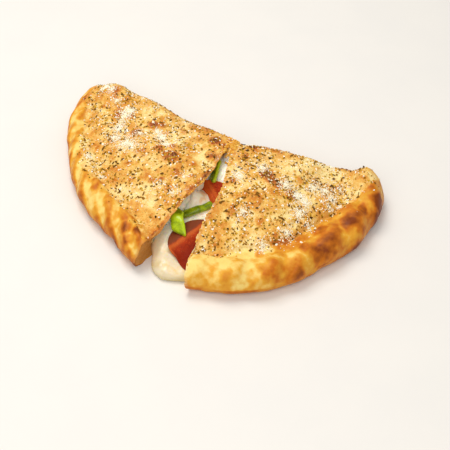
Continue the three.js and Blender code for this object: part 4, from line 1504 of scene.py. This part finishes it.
def scattered(kind, places, normals, sizes, draw):
    """Joined copies of a form, each with its own size, turn, lean, unevenness and tint."""
    count, corners = len(places), len(kind.points)
    up = normals + kind.tilt * draw.normal(size=(count, 3))
    up /= np.linalg.norm(up, axis=1, keepdims=True)
    side = np.cross(up, draw.normal(size=(count, 3)))
    side /= np.linalg.norm(side, axis=1, keepdims=True)
    third = np.cross(up, side)
    long = draw.uniform(*kind.stretch, count)
    shape = kind.points[None] * np.stack([long, 1 / np.sqrt(long), np.full(count, kind.flat)], -1)[:, None]
    shape = shape * (1 + kind.jitter * draw.uniform(-1, 1, (count, corners, 1)))
    shape = shape * sizes[:, None, None]
    turned = shape[..., :1] * side[:, None] + shape[..., 1:2] * third[:, None] + shape[..., 2:] * up[:, None]
    points = places[:, None] + turned + normals[:, None] * (sizes * kind.flat * kind.lift)[:, None, None]
    faces = np.array(kind.faces)[None] + np.arange(count)[:, None, None] * corners
    tint = np.repeat(draw.uniform(0, 1, count), corners)
    return points.reshape(-1, 3), faces.reshape(-1, 3).tolist(), tint


def solid_crumb_places(bread, half):
    """Points of the plan and sizes of the crumbs that the solids carry."""
    plan = plan_of(bread, half)
    draw = repeatable_draw(half.seed)
    taken, sizes = [], []
    margin = SOLID_CRUMBS.margin
    while len(taken) < SOLID_CRUMBS.number:
        angle = mix(0, plan.cut, draw())
        way = half.radius * math.sqrt(mix(0.012, 0.66, draw()))
        x, y = way * math.cos(angle), way * math.sin(angle)
        crowded = any(math.hypot(x - a, y - b) <= SOLID_CRUMBS.spacing for a, b in taken)
        if crowded or x < margin or y < margin:
            continue
        taken.append((x, y))
        sizes.append(mix(SOLID_CRUMBS.least, SOLID_CRUMBS.most, draw()))
        draw(), draw(), draw()  # their turn and shape on the solids
    return *np.array(taken).T, np.array(sizes)


def topping(name, kind, low, high, roughness, bits):
    """One piece from bits of one kind: each bit is points, faces and tints."""
    points, faces = merged([bit[:2] for bit in bits])
    masks = {"tint": np.concatenate([tint for _, _, tint in bits])}
    piece = add_mesh(name, points, faces, speck_material(kind, low, high, roughness), masks, sharp=40)
    finish_piece(piece)


class CALZONE_OT_herbs(bpy.types.Operator):
    """Scatters dark and yellow herb flakes over both halves."""

    bl_idname = "calzone.herbs"
    bl_label = "Herb flakes"

    def execute(self, context):
        settings = context.scene.calzone_toppings
        bread = in_mm(context.scene.calzone_bread)
        draw = np.random.default_rng(HERB_SEED)
        dark, gold = [], []
        kinds = ((dark, settings.dark_flakes, (0.6, 1.4)), (gold, settings.gold_flakes, (0.5, 1.2)))
        for half in HALVES:
            tree = surface_of(half.name)
            for bits, count, span in kinds:
                places, normals = lie_on_top(tree, half, bread, *over_top(bread, half, draw, count))
                sizes = draw.uniform(*span, len(places)) * draw.uniform(0.75, 1, len(places))
                bits.append(scattered(HERB_FLAKE, places, normals, sizes, draw))
        topping("herb_flakes_dark", "dried_herb", settings.herb_dark, settings.herb_olive, 0.7, dark)
        topping("herb_flakes_yellow", "straw_herb", settings.herb_olive, settings.herb_straw, 0.6, gold)
        return {"FINISHED"}


class CALZONE_OT_crumbs(bpy.types.Operator):
    """Scatters toasted crumbs and grated cheese over both halves."""

    bl_idname = "calzone.crumbs"
    bl_label = "Crumbs and grated cheese"

    def execute(self, context):
        settings = context.scene.calzone_toppings
        bread = in_mm(context.scene.calzone_bread)
        draw = np.random.default_rng(CRUMB_SEED)
        toasted, grated = [], []

        def strew(bits, kind, places, normals, span):
            bits.append(scattered(kind, places, normals, draw.uniform(*span, len(places)), draw))

        for half in HALVES:
            on_bread = surface_of(half.name), half, bread
            crumbs = over_top(bread, half, draw, settings.gold_crumbs)
            strew(toasted, TOP_CRUMB, *lie_on_top(*on_bread, *crumbs), (0.35, 0.95))
            strew(toasted, CUT_CRUMB, *lie_on(*on_bread, *along_cut(half, draw)), (0.4, 1.0))
            x, y, sizes = solid_crumb_places(bread, half)
            grated.append(scattered(LARGE_CRUMB, *lie_on(*on_bread, x, y), sizes * 0.55, draw))
            loose, heaped = over_top(bread, half, draw, settings.cheese_crumbs), heaped_on(half, draw)
            strew(grated, LOOSE_CHEESE, *lie_on_top(*on_bread, *loose), (0.3, 0.8))
            strew(grated, HEAPED_CHEESE, *lie_on_top(*on_bread, *heaped), (0.22, 0.6))
        trees = [surface_of(name) for name in (LEFT.name, RIGHT.name, "cheese_melt")]
        strew(toasted, JOINT_CRUMB, *lie_in_joint(trees, draw, JOINT_CRUMBS.toasted), (0.6, 1.5))
        strew(grated, JOINT_CRUMB, *lie_in_joint(trees, draw, JOINT_CRUMBS.cheese), (0.4, 0.9))
        topping("crumbs_toasted", "toasted_crumb", settings.crumb_gold, settings.crumb_light, 0.7, toasted)
        topping("cheese_grated", "grated_cheese", settings.grated_warm, settings.grated, 0.55, grated)
        return {"FINISHED"}


# ---- stage ----

CAMERA = SimpleNamespace(
    aim=(32.68, -8.45, 0), turn=22.0, elevation=46.279, roll=3.765, distance=837.87, lens=80.33
)
# Lamps: azimuth 0 is the camera's side of the food and 90 its right, in degrees. Lengths are in metres.
KEY = SimpleNamespace(name="key", azimuth=-140, elevation=68, distance=1.3, size=0.7, tint=(1.0, 0.97, 0.92))
FILL = SimpleNamespace(name="fill", azimuth=-12, elevation=50, distance=1.5, size=1.2, tint=(1.0, 0.98, 0.95))
LAMP_AIM = Vector((0.0, 0.0, 0.015))
FLOOR_REACH = 3.0
SKY_TINT = (1.0, 0.985, 0.96, 1)
FLOOR_SHADE = (0.7, 0.7, 0.7, 1)


def floor_material(shade):
    """Plain and pale, with the faintest unevenness."""
    material, tree, surface = new_material("pale_floor")
    patches = noise(tree, 60, 3)
    soft = blend_colours(tree, remap(tree, patches, 0.3, 0.7, 0.0, 0.12), shade, FLOOR_SHADE)
    feed(tree, surface.inputs["Base Color"], soft)
    feed(tree, surface.inputs["Roughness"], 0.65)
    return material


def add_floor(scene, shade):
    """A wide plain floor under the food."""
    mesh = bpy.data.meshes.new("floor")
    corners = [(x * FLOOR_REACH, y * FLOOR_REACH, 0) for x, y in ((-1, -1), (1, -1), (1, 1), (-1, 1))]
    mesh.from_pydata(corners, [], [(0, 1, 2, 3)])
    mesh.materials.append(floor_material(shade))
    floor = bpy.data.objects.new("floor", mesh)
    scene.collection.objects.link(floor)


def add_sky(scene, strength):
    """Even, white surroundings."""
    scene.world = bpy.data.worlds.new("white_surroundings")
    scene.world.use_nodes = True
    sockets = scene.world.node_tree.nodes["Background"].inputs
    sockets["Color"].default_value = SKY_TINT
    sockets["Strength"].default_value = strength


def add_lamp(scene, lamp, power):
    """A square lamp that looks at the food."""
    azimuth, elevation = math.radians(lamp.azimuth + CAMERA.turn), math.radians(lamp.elevation)
    data = bpy.data.lights.new(lamp.name, "AREA")
    data.shape = "SQUARE"
    data.size = lamp.size
    data.energy = power
    data.color = lamp.tint
    level = math.cos(elevation)
    back = Vector((math.sin(azimuth) * level, -math.cos(azimuth) * level, math.sin(elevation)))
    light = bpy.data.objects.new(lamp.name, data)
    light.location = LAMP_AIM + back * lamp.distance
    light.rotation_mode = "QUATERNION"
    light.rotation_quaternion = (-back).to_track_quat("-Z", "Y")
    scene.collection.objects.link(light)


def add_camera(scene):
    """A camera that looks down at the food from the front right, with a slight roll."""
    turn, elevation, roll = (math.radians(v) for v in (CAMERA.turn, CAMERA.elevation, CAMERA.roll))
    reach = math.cos(elevation)
    ahead = Vector((-math.sin(turn) * reach, math.cos(turn) * reach, -math.sin(elevation)))
    level = Vector((math.cos(turn), math.sin(turn), 0))
    upright = level.cross(ahead)
    right = level * math.cos(roll) + upright * math.sin(roll)
    up = upright * math.cos(roll) - level * math.sin(roll)
    data = bpy.data.cameras.new("camera")
    data.lens = CAMERA.lens
    data.clip_start = 0.05
    data.clip_end = 10
    camera = bpy.data.objects.new("camera", data)
    camera.matrix_world = Matrix((right, up, -ahead)).transposed().to_4x4()
    camera.location = Vector(CAMERA.aim) * MM - ahead * CAMERA.distance * MM
    scene.collection.objects.link(camera)
    scene.camera = camera


class CALZONE_OT_stage(bpy.types.Operator):
    """Makes the pale floor, the soft light and the camera."""

    bl_idname = "calzone.stage"
    bl_label = "Floor, light and camera"

    def execute(self, context):
        scene = context.scene
        settings = scene.calzone_stage
        add_floor(scene, settings.floor)
        add_sky(scene, settings.sky)
        add_lamp(scene, KEY, settings.key_power)
        add_lamp(scene, FILL, settings.fill_power)
        scene.view_settings.view_transform = "Standard"
        add_camera(scene)
        return {"FINISHED"}


class CALZONE_PT_sidebar(bpy.types.Panel):
    """Shows the steps that make the calzone, and their settings."""

    bl_idname = "CALZONE_PT_sidebar"
    bl_label = "Cut calzone"
    bl_space_type = "VIEW_3D"
    bl_region_type = "UI"
    bl_category = "Calzone"

    def draw(self, context):
        for step in STEPS:
            self.layout.operator(step.bl_idname)
        for name, kind in GROUPS.items():
            box = self.layout.box()
            box.label(text=kind.__doc__)
            for setting in kind.__annotations__:
                box.prop(getattr(context.scene, name), setting)


STEPS = (
    CALZONE_OT_bread,
    CALZONE_OT_cheese,
    CALZONE_OT_pepperoni,
    CALZONE_OT_peppers,
    CALZONE_OT_herbs,
    CALZONE_OT_crumbs,
    CALZONE_OT_stage,
)
GROUPS = {
    "calzone_bread": CalzoneBread,
    "calzone_cheese": CalzoneCheese,
    "calzone_pepperoni": CalzonePepperoni,
    "calzone_pepper": CalzonePepper,
    "calzone_toppings": CalzoneToppings,
    "calzone_stage": CalzoneStage,
}


def register():
    """Makes the settings, steps and panel known."""
    for kind in (*GROUPS.values(), *STEPS, CALZONE_PT_sidebar):
        bpy.utils.register_class(kind)
    for name, kind in GROUPS.items():
        setattr(bpy.types.Scene, name, PointerProperty(type=kind))


def unregister():
    """Takes them away again."""
    for name in GROUPS:
        delattr(bpy.types.Scene, name)
    for kind in reversed((*GROUPS.values(), *STEPS, CALZONE_PT_sidebar)):
        bpy.utils.unregister_class(kind)


def main():
    """Makes the whole scene."""
    register()
    bpy.ops.calzone.bread()
    bpy.ops.calzone.cheese()
    bpy.ops.calzone.pepperoni()
    bpy.ops.calzone.peppers()
    bpy.ops.calzone.herbs()
    bpy.ops.calzone.crumbs()
    bpy.ops.calzone.stage()


if __name__ == "__main__":
    main()
